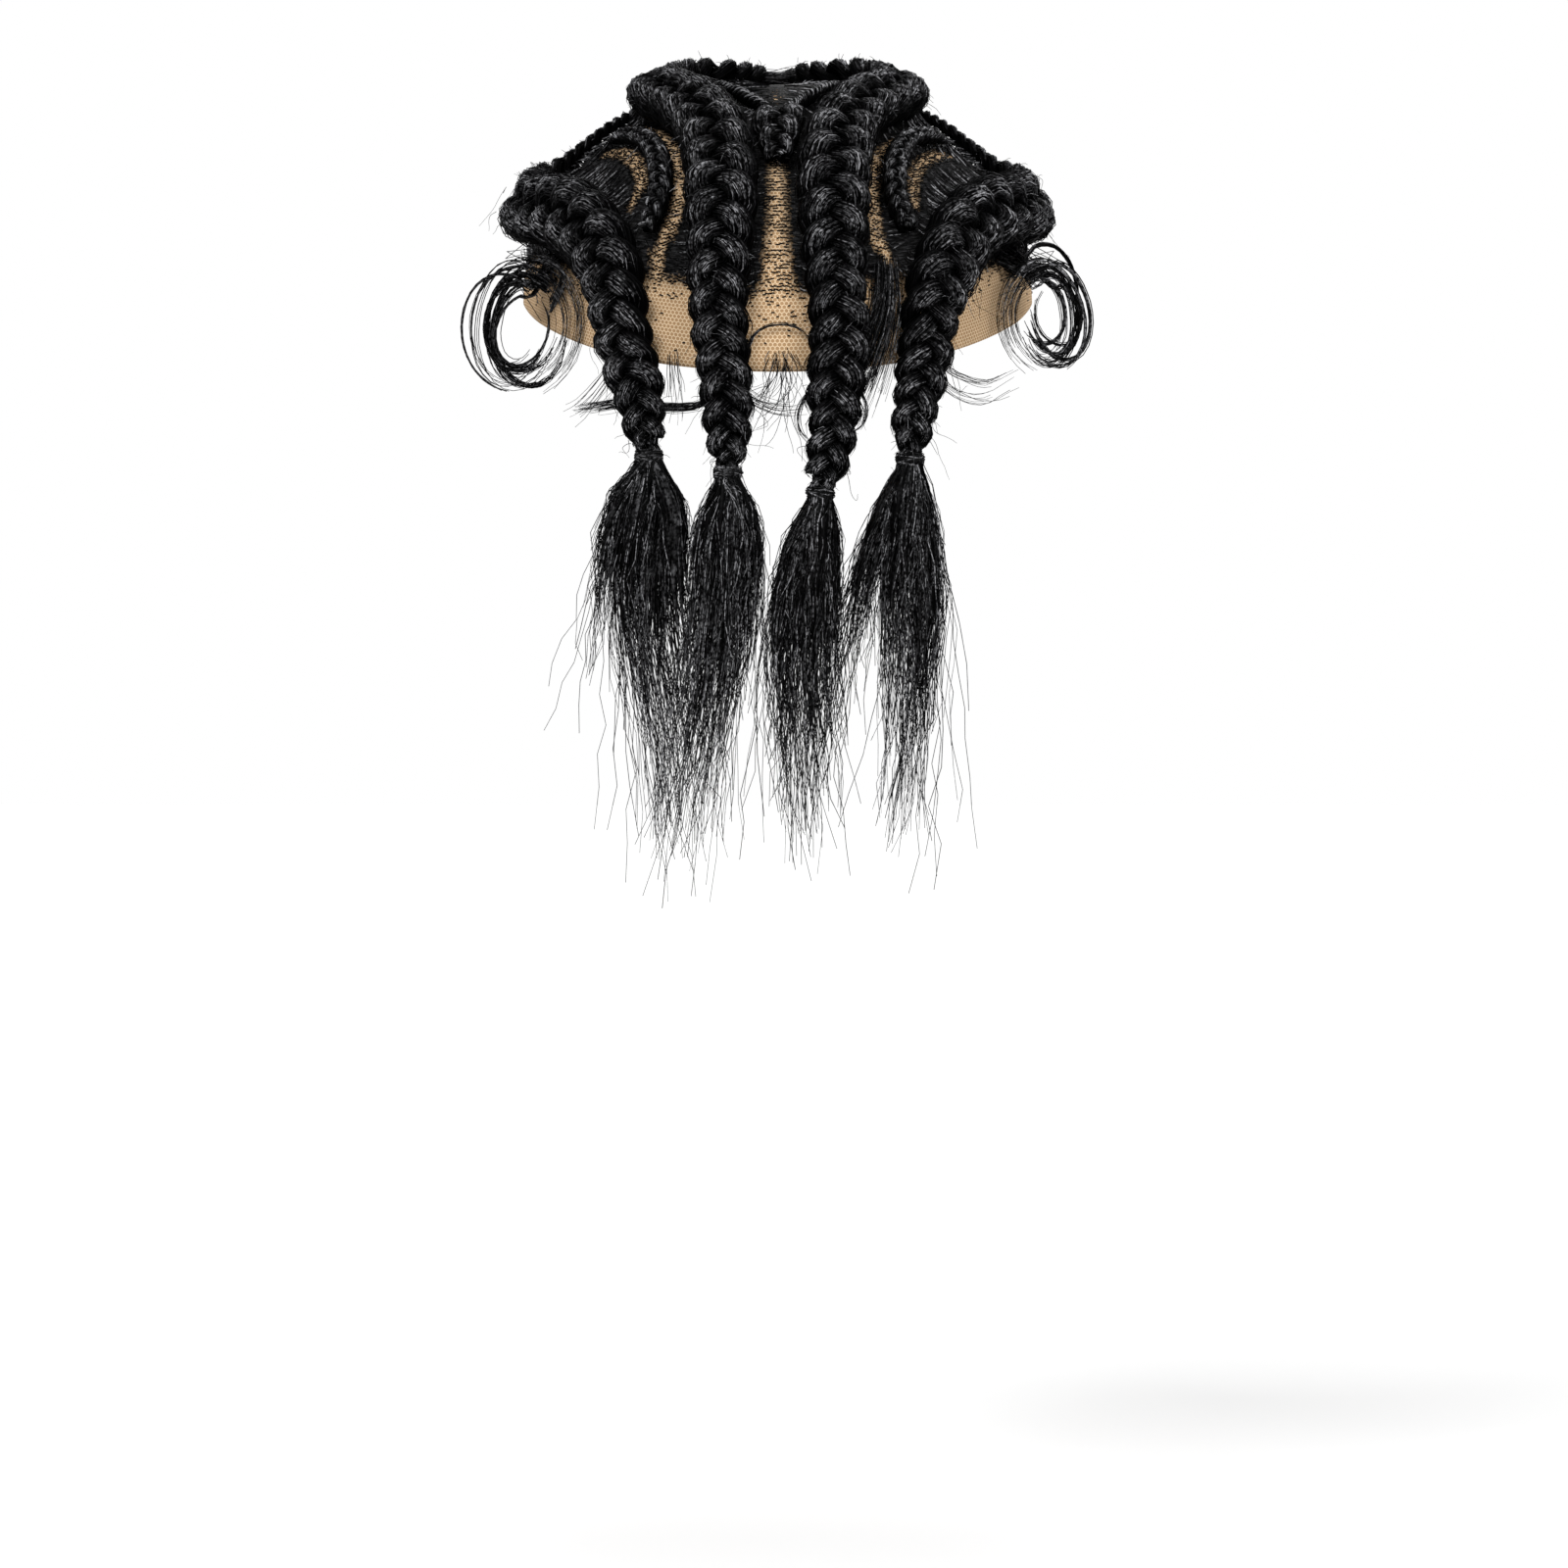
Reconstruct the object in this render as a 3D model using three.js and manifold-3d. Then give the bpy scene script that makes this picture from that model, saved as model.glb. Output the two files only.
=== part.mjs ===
// Cornrow toupee: a thin lace cap in the shape of the upper head, with cornrows plaited flat onto it.
// Four thick cornrows start thin at the front hairline, run back over the crown, swing out in a hook,
// come back and hang below the cap as free plaits. Each is tied off above a loose tail.
// Thin cornrows lie inside the hooks.
// Millimetres, +Z up, +Y towards the forehead, +X to the wearer's right.
// The origin is the inside of the cap at its crown.

import * as THREE from "three";
import { mergeVertices } from "three/addons/utils/BufferGeometryUtils.js";
import Module from "manifold-3d";

const wasm = await Module();
wasm.setup();

// Head form: half sizes in plan, and the drop from the crown to the widest line at the sides, back and front
const HEAD = { halfWidth: 80, halfBack: 97, halfFront: 99, dropSide: 69, dropBack: 95, dropFront: 88 };

// Lace cap: wall thickness and mesh fineness
const CAP = { wall: 1, sectors: 40, rings: 11 };

// Hem of the cap: azimuth from the back of the head, and the polar angle that the lace reaches there
const HEM = [
  { azimuth: 0, polar: 91 },
  { azimuth: 60, polar: 92 },
  { azimuth: 100, polar: 88 },
  { azimuth: 140, polar: 72 },
  { azimuth: 180, polar: 65 },
];

// Clear gap between touching pieces, and between a cornrow's underside and the cap
const GAP = 0.3;
const SEAT_GAP = 0.8;

// Plait: height and lobe pitch, each a base plus a share of the width, the slant of a lobe in pitches,
// how far the lobes of the two sides are set apart in pitches, the lobes over which slant and setting apart
// fade in at an end, the share of the section that is left in the grooves between lobes and along the middle,
// and how round the underside is, 1 being an ellipse and less being squarer
const PLAIT = {
  heightBase: 1.8,
  heightShare: 0.58,
  pitchBase: 4.4,
  pitchShare: 0.31,
  slant: 0.9,
  stagger: 0.25,
  endFade: 1.5,
  groove: 0.76,
  middle: 0.9,
  undersideRounding: 0.65,
};

// Mesh fineness of the thick, thin and centre plaits: corners of a section, and sections for each lobe
const THICK = { sides: 10, ringsPerLobe: 2 };
const THIN = { sides: 6, ringsPerLobe: 2 };
const CENTRE = { sides: 8, ringsPerLobe: 2 };

// Inner cornrows: degrees across and along the head from the crown, and width; left and right mirrored
const INNER_ROW = [
  { across: 9, along: 60, width: 5 },
  { across: 6, along: 42, width: 6 },
  { across: 4.3, along: 24, width: 9 },
  { across: 4.2, along: 10, width: 12.4 },
  { across: 11, along: 2, width: 13 },
  { across: 19, along: -2.5, width: 17 },
  { across: 24.5, along: -11.5, width: 18.5 },
  { across: 22.5, along: -23, width: 19 },
  { across: 16.5, along: -32.5, width: 19.5 },
  { across: 12.3, along: -42, width: 20 },
  { across: 10.8, along: -51, width: 21 },
  { across: 11, along: -60, width: 21 },
  { across: 12, along: -68.5, width: 19 },
  { across: 13.2, along: -77, width: 17.3 },
];

// Outer cornrows, in the same columns
const OUTER_ROW = [
  { across: 27, along: 56, width: 4.5 },
  { across: 24, along: 38, width: 4.6 },
  { across: 25, along: 20, width: 4.8 },
  { across: 30, along: 6, width: 4.8 },
  { across: 38, along: -2, width: 4.8 },
  { across: 46, along: -5, width: 5.2 },
  { across: 53, along: -6.5, width: 8 },
  { across: 59.5, along: -10, width: 16 },
  { across: 63, along: -17.5, width: 20.5 },
  { across: 61, along: -27, width: 21.5 },
  { across: 56, along: -36.5, width: 21.5 },
  { across: 49, along: -45, width: 21.5 },
  { across: 42, along: -56, width: 20.8 },
  { across: 39, along: -65.5, width: 20 },
];

// Free plaits below the cap: last rows on the cap, then hanging rows in millimetres down to the tie
const FALLS = {
  inner_left: {
    onCap: [{ across: -13.6, along: -84.5, width: 16.4 }],
    hanging: [
      { x: -15.4, y: -104, z: -103.2, width: 15.2 },
      { x: -14.9, y: -104, z: -115, width: 14 },
      { x: -14.6, y: -104, z: -121, width: 12 },
      { x: -14.9, y: -104, z: -127.4, width: 7.4 },
    ],
  },
  inner_right: {
    onCap: [{ across: 15, along: -84.5, width: 17.6 }],
    hanging: [
      { x: 17.3, y: -104, z: -103.2, width: 16.4 },
      { x: 16.9, y: -104, z: -114, width: 14.6 },
      { x: 15, y: -104, z: -124, width: 13.2 },
      { x: 14.1, y: -104, z: -129, width: 11.4 },
      { x: 12.9, y: -104, z: -133.5, width: 7.4 },
    ],
  },
  outer_left: {
    onCap: [
      { across: -39.3, along: -73.7, width: 18.3 },
      { across: -39.9, along: -81.5, width: 17.6 },
    ],
    hanging: [
      { x: -42.2, y: -92, z: -101.5, width: 15.4 },
      { x: -40.6, y: -92, z: -112, width: 13 },
      { x: -39.6, y: -92, z: -117, width: 11 },
      { x: -38.9, y: -92, z: -121.6, width: 7.4 },
    ],
  },
  outer_right: {
    onCap: [
      { across: 37.6, along: -73, width: 18.3 },
      { across: 38.7, along: -80.5, width: 17.2 },
    ],
    hanging: [
      { x: 42.8, y: -92, z: -102, width: 14.6 },
      { x: 41, y: -92, z: -111, width: 12.8 },
      { x: 40.6, y: -92, z: -117, width: 11.4 },
      { x: 40.1, y: -92, z: -122.5, width: 7.4 },
    ],
  },
};

// Thin cornrows: the crescents and the legs of the V, left and right mirrored, and the plait below the V
const CRESCENT_ROW = [
  { across: 39, along: -21, width: 4 },
  { across: 33, along: -28.5, width: 5 },
  { across: 28, along: -34.5, width: 6.2 },
  { across: 25, along: -41.5, width: 7.2 },
  { across: 24.2, along: -49, width: 7.5 },
  { across: 26, along: -55.5, width: 7.2 },
  { across: 29.5, along: -59.5, width: 6.2 },
];
const VEE_ROW = [
  { across: 13.5, along: -14, width: 3.6 },
  { across: 10.6, along: -19.5, width: 4.2 },
  { across: 7.5, along: -25, width: 4.6 },
  { across: 4.6, along: -30, width: 4.8 },
  { across: 2, along: -34, width: 4.6 },
];
const CENTRE_ROW = [
  { across: 0, along: -36, width: 11 },
  { across: 0, along: -38.2, width: 16 },
  { across: 0, along: -41.3, width: 15.8 },
  { across: 0, along: -45.5, width: 12.6 },
  { across: 0, along: -49.8, width: 7.6 },
];

// Tie: a narrow wound band around each plait's neck; its section is highest at the shoulder, a share of its
// thickness, and its inner face has a share of its height
const TIE = { height: 3.2, thickness: 1.3, clearance: 0.7, shoulder: 0.5, innerFace: 0.6, segments: 10 };

// Tails: each lock by its sideways place at the swell, middle, lower part and tip,
// its depth from the plait's plane, the height of its tip, and its breadth at the swell
const TAILS = {
  outer_left: [
    { swell: -46.5, middle: -51, lower: -53.5, tip: -55, depth: 1, end: -192, breadth: 9 },
    { swell: -42.5, middle: -45.5, lower: -40, tip: -34, depth: -2, end: -243, breadth: 11 },
    { swell: -36.5, middle: -38.5, lower: -33.5, tip: -28, depth: 2, end: -248, breadth: 12 },
    { swell: -32, middle: -31.5, lower: -28.5, tip: -24, depth: -1, end: -226, breadth: 9 },
  ],
  inner_left: [
    { swell: -20.5, middle: -22.5, lower: -28, tip: -36, depth: -1, end: -243, breadth: 10 },
    { swell: -16, middle: -17, lower: -22.5, tip: -29, depth: -2.5, end: -252, breadth: 11 },
    { swell: -11.5, middle: -11.5, lower: -16.5, tip: -22, depth: 0, end: -240, breadth: 11 },
    { swell: -9.5, middle: -8, lower: -9.5, tip: -12, depth: -2, end: -206, breadth: 8 },
  ],
  inner_right: [
    { swell: 6.5, middle: 1.5, lower: 1.5, tip: 5.5, depth: -1, end: -238, breadth: 9 },
    { swell: 10.5, middle: 8, lower: 7.5, tip: 9, depth: -2.5, end: -247, breadth: 11 },
    { swell: 14.5, middle: 14, lower: 13, tip: 11, depth: 0, end: -234, breadth: 9 },
  ],
  outer_right: [
    { swell: 34, middle: 27, lower: 21, tip: 17, depth: 1, end: -212, breadth: 9 },
    { swell: 38.5, middle: 36.5, lower: 36.5, tip: 33, depth: -2, end: -238, breadth: 11 },
    { swell: 43.5, middle: 45.5, lower: 42, tip: 37, depth: 1, end: -244, breadth: 11 },
  ],
};

// A lock's stations below the tie: which of its places it passes there, share of its length,
// and shares of its breadth and thickness
const LOCK_STATIONS = [
  { place: "swell", along: 0.14, breadth: 1, thickness: 0.95 },
  { place: "middle", along: 0.36, breadth: 1, thickness: 1 },
  { place: "lower", along: 0.66, breadth: 0.72, thickness: 0.62 },
  { place: "tip", along: 1, breadth: 0.16, thickness: 0.16 },
];
const LOCK = { thickness: 8.5, sides: 6 };

// Edge curls: centre and radius of the ring that each side's locks wind around,
// and the root's place on the cap
const CURLS = {
  left: { centre: [-78.7, -56, -79.3], radius: 15, root: { across: -62, along: -47 } },
  right: { centre: [84.9, -52, -74.8], radius: 12.5, root: { across: 64, along: -42 } },
};

// Locks of a curl: start and end angle around the ring, radius share, sideways shift and thickness
const CURL_LOCKS = [
  { from: 55, to: 345, reach: 1, shift: 0, thickness: 2.6 },
  { from: 60, to: 290, reach: 0.8, shift: -2.2, thickness: 2.2 },
  { from: 50, to: 250, reach: 1.12, shift: 2, thickness: 2 },
];
// A curl's root knot and how far it stands off the cap, the share by which a lock thins towards its tip,
// how far the ring turns to the back, and mesh fineness
const CURL = { rootRadius: 3, rootSeat: 2.7, taper: 0.6, facing: 0.53, steps: 10, sides: 4 };
const ROOT_MESH = { around: 6, down: 4 };


// Colours and gloss of the hair, the lace and the ties
const HAIR = { color: 0x0c0c0e, roughness: 0.45, metalness: 0 };
const LACE = { color: 0xc9a273, roughness: 0.85, metalness: 0 };
const BAND = { color: 0x101012, roughness: 0.6, metalness: 0 };

const toupee = new THREE.Group();

// Head form

function headSurface(across, along) {
  const polar = THREE.MathUtils.degToRad(Math.hypot(across, along));
  const azimuth = Math.atan2(across, -along);
  const lengthwise = Math.cos(azimuth) ** 2;
  const half = along < 0 ? HEAD.halfBack : HEAD.halfFront;
  const endDrop = along < 0 ? HEAD.dropBack : HEAD.dropFront;
  const drop = HEAD.dropSide + (endDrop - HEAD.dropSide) * lengthwise;
  const reach = 1 / Math.hypot(Math.sin(azimuth) / HEAD.halfWidth, Math.cos(azimuth) / half);
  const radius = reach * Math.sin(polar);
  return new THREE.Vector3(
    radius * Math.sin(azimuth),
    -radius * Math.cos(azimuth),
    -drop * (1 - Math.cos(polar)),
  );
}

function headNormal(across, along) {
  const step = 0.05;
  const right = headSurface(across + step, along).sub(headSurface(across - step, along));
  const front = headSurface(across, along + step).sub(headSurface(across, along - step));
  return right.cross(front).normalize();
}

function headPoint(across, along, lift) {
  return headSurface(across, along).addScaledVector(headNormal(across, along), lift);
}

// Solids from rings of points: each ring is joined to the next, and both ends are closed with a fan
// about a given point or the middle of the ring
function loft(rings, startPoint, endPoint) {
  const sides = rings[0].length;
  const points = rings.flat();
  const indices = [];
  for (let ring = 0; ring < rings.length - 1; ring += 1) {
    for (let side = 0; side < sides; side += 1) {
      const here = ring * sides + side;
      const beside = ring * sides + ((side + 1) % sides);
      const rising = points[here].distanceTo(points[beside + sides]);
      const falling = points[beside].distanceTo(points[here + sides]);
      if (rising < falling) {
        indices.push(here, beside, beside + sides, here, beside + sides, here + sides);
      } else {
        indices.push(here, beside, here + sides, beside, beside + sides, here + sides);
      }
    }
  }
  const middleOf = (ring) => (
    ring.reduce((sum, point) => sum.add(point), new THREE.Vector3()).divideScalar(sides)
  );
  const start = points.push(startPoint ?? middleOf(rings[0])) - 1;
  const end = points.push(endPoint ?? middleOf(rings.at(-1))) - 1;
  const lastRing = (rings.length - 1) * sides;
  for (let side = 0; side < sides; side += 1) {
    const beside = (side + 1) % sides;
    indices.push(start, beside, side);
    indices.push(end, lastRing + side, lastRing + beside);
  }
  const geometry = new THREE.BufferGeometry().setFromPoints(points);
  geometry.setIndex(indices);
  return facingOut(geometry);
}

// Turns a closed shape the right way round if its triangles face inwards
function facingOut(geometry) {
  const place = geometry.getAttribute("position");
  const index = geometry.getIndex();
  const corner = (n) => new THREE.Vector3().fromBufferAttribute(place, index.getX(n));
  let volume = 0;
  for (let n = 0; n < index.count; n += 3) {
    volume += corner(n).dot(corner(n + 1).cross(corner(n + 2)));
  }
  if (volume < 0) {
    for (let n = 0; n < index.count; n += 3) {
      const second = index.getX(n + 1);
      index.setX(n + 1, index.getX(n + 2));
      index.setX(n + 2, second);
    }
  }
  return geometry;
}

function toSolid(geometry) {
  const bare = geometry.clone();
  bare.deleteAttribute("normal");
  bare.deleteAttribute("uv");
  const merged = mergeVertices(bare);
  return new wasm.Manifold(new wasm.Mesh({
    numProp: 3,
    vertProperties: new Float32Array(merged.getAttribute("position").array),
    triVerts: new Uint32Array(merged.getIndex().array),
  }));
}

function toGeometry(solid) {
  const mesh = solid.getMesh();
  const geometry = new THREE.BufferGeometry();
  geometry.setAttribute("position", new THREE.BufferAttribute(mesh.vertProperties, 3));
  geometry.setIndex(new THREE.BufferAttribute(mesh.triVerts, 1));
  return geometry;
}

// Joins pieces into one body and fills any small hollow that they close in between them
function fuse(geometries) {
  const whole = geometries.map(toSolid).reduce((sum, piece) => sum.add(piece));
  const shells = whole.decompose();
  const outer = shells.reduce((largest, shell) => (shell.volume() > largest.volume() ? shell : largest));
  return toGeometry(outer);
}

function addPiece(name, geometry, finish) {
  const mesh = new THREE.Mesh(geometry, new THREE.MeshStandardMaterial(finish));
  mesh.name = name;
  toupee.add(mesh);
}

// Lace cap: rings from the crown to the hem on the outside, then back to the crown on the inside
function hemPolar(azimuth) {
  const turn = Math.abs(azimuth);
  const next = HEM.findIndex((row) => row.azimuth >= turn);
  const to = HEM[Math.max(next, 1)];
  const from = HEM[Math.max(next, 1) - 1];
  const share = (turn - from.azimuth) / (to.azimuth - from.azimuth);
  return THREE.MathUtils.lerp(from.polar, to.polar, THREE.MathUtils.smoothstep(share, 0, 1));
}

function capRing(share, lift) {
  const ring = [];
  for (let sector = 0; sector < CAP.sectors; sector += 1) {
    const azimuth = (360 * sector) / CAP.sectors - 180;
    const polar = hemPolar(azimuth) * share;
    const turn = THREE.MathUtils.degToRad(azimuth);
    ring.push(headPoint(polar * Math.sin(turn), -polar * Math.cos(turn), lift));
  }
  return ring;
}

function capGeometry() {
  const shares = Array.from({ length: CAP.rings }, (_, ring) => (ring + 1) / CAP.rings);
  const outside = shares.map((share) => capRing(share, CAP.wall));
  const inside = shares.map((share) => capRing(share, 0)).reverse();
  return loft([...outside, ...inside], headPoint(0, 0, CAP.wall), headPoint(0, 0, 0));
}

// Routes: a smooth line through a cornrow's rows, with the outward direction and the width along it
const heightOf = (width) => PLAIT.heightBase + PLAIT.heightShare * width;

function mirrored(rows, side) {
  return rows.map((row) => ({ ...row, across: row.across * side }));
}

function routeOf(rows) {
  const lift = (row) => CAP.wall + SEAT_GAP + heightOf(row.width) / 2;
  const onCap = (row) => row.across !== undefined;
  const points = rows.map((row) => (
    onCap(row) ? headPoint(row.across, row.along, lift(row)) : new THREE.Vector3(row.x, row.y, row.z)
  ));
  const outward = rows.map((row) => (
    onCap(row) ? headNormal(row.across, row.along) : new THREE.Vector3(0, -1, 0)
  ));
  const widths = rows.map((row) => new THREE.Vector3(row.width, 0, 0));
  const smooth = (list) => new THREE.CatmullRomCurve3(list, false, "catmullrom", 0.5);
  return { line: smooth(points), outward: smooth(outward), width: smooth(widths) };
}

// Counts lobes along a route, so that a lobe number can be turned back into a place on it
function lobeTable(route) {
  const steps = 600;
  const table = [{ at: 0, lobes: 0 }];
  let before = route.line.getPoint(0);
  for (let step = 1; step <= steps; step += 1) {
    const at = step / steps;
    const here = route.line.getPoint(at);
    const pitch = PLAIT.pitchBase + PLAIT.pitchShare * route.width.getPoint(at).x;
    table.push({ at, lobes: table[step - 1].lobes + here.distanceTo(before) / pitch });
    before = here;
  }
  return table;
}

function placeOfLobe(table, lobes) {
  const next = Math.max(1, table.findIndex((row) => row.lobes >= lobes - 1e-9));
  const from = table[next - 1];
  const to = table[next];
  return THREE.MathUtils.lerp(from.at, to.at, (lobes - from.lobes) / (to.lobes - from.lobes));
}

// A point on a plait's skin: turn runs around the section, a quarter turn being straight out from the head.
// The half towards the head is squarer, as a cornrow lies flat there.
function plaitPoint(route, at, turn, swell) {
  const centre = route.line.getPoint(at);
  const tangent = route.line.getTangent(at);
  const side = tangent.clone().cross(route.outward.getPoint(at)).normalize();
  const out = side.clone().cross(tangent).normalize();
  const width = route.width.getPoint(at).x;
  const rounding = Math.sin(turn) < 0 ? PLAIT.undersideRounding : 1;
  const share = (value) => Math.sign(value) * Math.abs(value) ** rounding;
  return centre
    .addScaledVector(side, (width / 2) * share(Math.cos(turn)) * swell)
    .addScaledVector(out, (heightOf(width) / 2) * share(Math.sin(turn)) * swell);
}

// Share of the full section at a corner: the underside stays full, so that it lies close to the cap
function lobeSwell(turn, grooved) {
  if (Math.sin(turn) < -0.5) {
    return 1;
  }
  if (Math.abs(Math.cos(turn)) < 1e-6) {
    return PLAIT.middle;
  }
  return grooved ? PLAIT.groove : 1;
}

// A plait: rings that slant from the middle to both edges, left and right half a pitch apart,
// pulled in at each groove between two lobes and let out on the lobes
function plaitGeometry(rows, { sides, ringsPerLobe }) {
  const route = routeOf(rows);
  const table = lobeTable(route);
  const total = table.at(-1).lobes;
  const ringCount = Math.round(total * ringsPerLobe);
  const rings = [];
  for (let ring = 0; ring <= ringCount; ring += 1) {
    const lobes = (total * ring) / ringCount;
    const fade = Math.min(1, lobes / PLAIT.endFade, (total - lobes) / PLAIT.endFade);
    const grooved = ring % ringsPerLobe === 0;
    const points = [];
    for (let corner = 0; corner < sides; corner += 1) {
      const turn = Math.PI / 2 + (2 * Math.PI * corner) / sides;
      const aside = Math.cos(turn);
      const setApart = Math.abs(aside) < 1e-6 ? 0 : -Math.sign(aside) * PLAIT.stagger;
      const slant = PLAIT.slant * (Math.abs(aside) - 0.5) + setApart;
      const swell = lobeSwell(turn, grooved);
      points.push(plaitPoint(route, placeOfLobe(table, lobes + slant * fade), turn, swell));
    }
    rings.push(points);
  }
  return loft(rings);
}

// Ties: a wound band turned about the neck's axis
function tieGeometry(neck) {
  const inner = neck.width / 2 + TIE.clearance;
  const outer = inner + TIE.thickness;
  const shoulder = inner + TIE.thickness * TIE.shoulder;
  const rise = TIE.height / 2;
  const innerRise = rise * TIE.innerFace;
  const profile = [
    new THREE.Vector2(inner, -innerRise),
    new THREE.Vector2(shoulder, -rise),
    new THREE.Vector2(outer, 0),
    new THREE.Vector2(shoulder, rise),
    new THREE.Vector2(inner, innerRise),
    new THREE.Vector2(inner, -innerRise),
  ];
  const band = new THREE.LatheGeometry(profile, TIE.segments);
  band.rotateX(Math.PI / 2);
  band.scale(1, (heightOf(neck.width) / 2 + TIE.clearance) / inner, 1);
  band.translate(neck.x, neck.y, neck.z);
  return toGeometry(toSolid(band));
}

// Tails: locks that all leave the neck inside the tie, fused there, and part towards their tips
function lockGeometry(neck, lock) {
  const top = neck.z - GAP;
  const belowTie = neck.z - TIE.height / 2;
  const section = (x, y, z, breadth, thickness) => (
    Array.from({ length: LOCK.sides }, (_, corner) => {
      const turn = (2 * Math.PI * corner) / LOCK.sides;
      return new THREE.Vector3(x + (breadth / 2) * Math.cos(turn), y + (thickness / 2) * Math.sin(turn), z);
    })
  );
  const neckRings = [top, belowTie].map((z) => (
    section(neck.x, neck.y, z, neck.width, heightOf(neck.width))
  ));
  const freeRings = LOCK_STATIONS.map((station) => section(
    lock[station.place],
    neck.y + lock.depth,
    THREE.MathUtils.lerp(belowTie, lock.end, station.along),
    lock.breadth * station.breadth,
    LOCK.thickness * station.thickness,
  ));
  return loft([...neckRings, ...freeRings]);
}

// Edge curls: thin locks that leave a root on the cap's side and wind around a ring
function curlGeometry(curl, side) {
  const centre = new THREE.Vector3(...curl.centre);
  const inward = new THREE.Vector3(-side * Math.sqrt(1 - CURL.facing ** 2), -CURL.facing, 0);
  const up = new THREE.Vector3(0, 0, 1);
  const facing = inward.clone().cross(up);
  const rootPlace = headPoint(curl.root.across, curl.root.along, CAP.wall + GAP + CURL.rootSeat);
  const root = new THREE.SphereGeometry(CURL.rootRadius, ROOT_MESH.around, ROOT_MESH.down);
  root.translate(...rootPlace);
  const locks = CURL_LOCKS.map((lock) => {
    const points = [rootPlace];
    for (let step = 0; step <= CURL.steps; step += 1) {
      const turn = THREE.MathUtils.degToRad(lock.from + ((lock.to - lock.from) * step) / CURL.steps);
      const radius = curl.radius * lock.reach;
      points.push(centre.clone()
        .addScaledVector(inward, radius * Math.cos(turn))
        .addScaledVector(up, radius * Math.sin(turn))
        .addScaledVector(facing, lock.shift));
    }
    const line = new THREE.CatmullRomCurve3(points);
    const rings = Array.from({ length: CURL.steps + 1 }, (_, step) => {
      const at = step / CURL.steps;
      const tangent = line.getTangentAt(at);
      const across = tangent.clone().cross(facing).normalize();
      const radius = (lock.thickness / 2) * (1 - CURL.taper * at);
      return Array.from({ length: CURL.sides }, (__, corner) => {
        const turn = (2 * Math.PI * corner) / CURL.sides;
        return line.getPointAt(at)
          .addScaledVector(across, radius * Math.cos(turn))
          .addScaledVector(facing, radius * Math.sin(turn));
      });
    });
    return loft(rings);
  });
  return fuse([root, ...locks]);
}

// Assembly
addPiece("lace_cap", capGeometry(), LACE);

for (const [place, fall] of Object.entries(FALLS)) {
  const side = place.endsWith("left") ? -1 : 1;
  const rowsOnCap = mirrored(place.startsWith("inner") ? INNER_ROW : OUTER_ROW, side);
  const neck = fall.hanging.at(-1);
  const aboveTie = { ...neck, z: neck.z + TIE.height };
  const hanging = [...fall.hanging.slice(0, -1), aboveTie, neck];
  addPiece(`cornrow_${place}`, plaitGeometry([...rowsOnCap, ...fall.onCap, ...hanging], THICK), HAIR);
  addPiece(`tie_${place}`, tieGeometry(neck), BAND);
  addPiece(`tail_${place}`, fuse(TAILS[place].map((lock) => lockGeometry(neck, lock))), HAIR);
}

for (const [word, side] of [["left", -1], ["right", 1]]) {
  addPiece(`crescent_${word}`, plaitGeometry(mirrored(CRESCENT_ROW, side), THIN), HAIR);
  addPiece(`vee_${word}`, plaitGeometry(mirrored(VEE_ROW, side), THIN), HAIR);
  addPiece(`edge_curl_${word}`, curlGeometry(CURLS[word], side), HAIR);
}
addPiece("centre_plait", plaitGeometry(CENTRE_ROW, CENTRE), HAIR);

export default toupee;
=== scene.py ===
import math
from types import SimpleNamespace as Sizes

import bpy
import numpy as np
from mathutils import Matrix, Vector


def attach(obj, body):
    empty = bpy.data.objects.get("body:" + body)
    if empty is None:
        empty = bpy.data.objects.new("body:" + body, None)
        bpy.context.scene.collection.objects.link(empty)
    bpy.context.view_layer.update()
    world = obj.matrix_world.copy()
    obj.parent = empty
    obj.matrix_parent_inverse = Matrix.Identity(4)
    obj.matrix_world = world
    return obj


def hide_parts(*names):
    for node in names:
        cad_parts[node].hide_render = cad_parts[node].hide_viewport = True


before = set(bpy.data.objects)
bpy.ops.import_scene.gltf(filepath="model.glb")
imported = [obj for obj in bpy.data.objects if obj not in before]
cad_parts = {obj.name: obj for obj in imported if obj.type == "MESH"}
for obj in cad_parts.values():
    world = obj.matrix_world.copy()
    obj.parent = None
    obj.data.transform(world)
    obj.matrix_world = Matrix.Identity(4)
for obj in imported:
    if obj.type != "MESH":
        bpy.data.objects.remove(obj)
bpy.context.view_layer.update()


# Lace cap: a fine tan net in the shape of the upper head, open below, cut along a low hem at the back and a
# higher one at the front. Hair is knotted into it strand by strand, so that the net is dark wherever hair
# covers it, and bare along the partings and in a strip above the hem.

MM = 0.001
SIDES = {"left": -1, "right": 1}
HEAD = Sizes(
    half_width=80, half_back=97, half_front=99, drop_side=69, drop_back=95, drop_front=88)
CAP_WALL = 1.0
CAP_MESH = Sizes(sectors=168, outer_rings=80, inner_rings=10)
HEM_BY_AZIMUTH = [(0, 91), (60, 92), (100, 88), (140, 72), (180, 65)]
HAIRLINE_BY_AZIMUTH = [(0, 76), (22, 74.5), (45, 76), (70, 77), (100, 82), (140, 68.5), (180, 61.5)]
HAIRLINE_SOFTNESS = 4.0
PARTING_SOFTNESS = 2.8
NET = Sizes(cell=1.25, thread=0.2, girth_radius=88, down_radius=90, shift=(5, 20 * math.sqrt(3)))
LACE_HOLE = (0.38, 0.235, 0.12, 1)
LACE_THREAD = (0.80, 0.61, 0.405, 1)
# Net under hair: black, with streaks of a grey painted sheen
COVERED_NET = (0.002, 0.002, 0.002, 1)
COVERED_SHEEN = (0.045, 0.045, 0.047, 1)
COVER_FRAY = 0.9
GRID_STEP, GRID_END = 0.5, 95
PARTING_PLACES = 80

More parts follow.
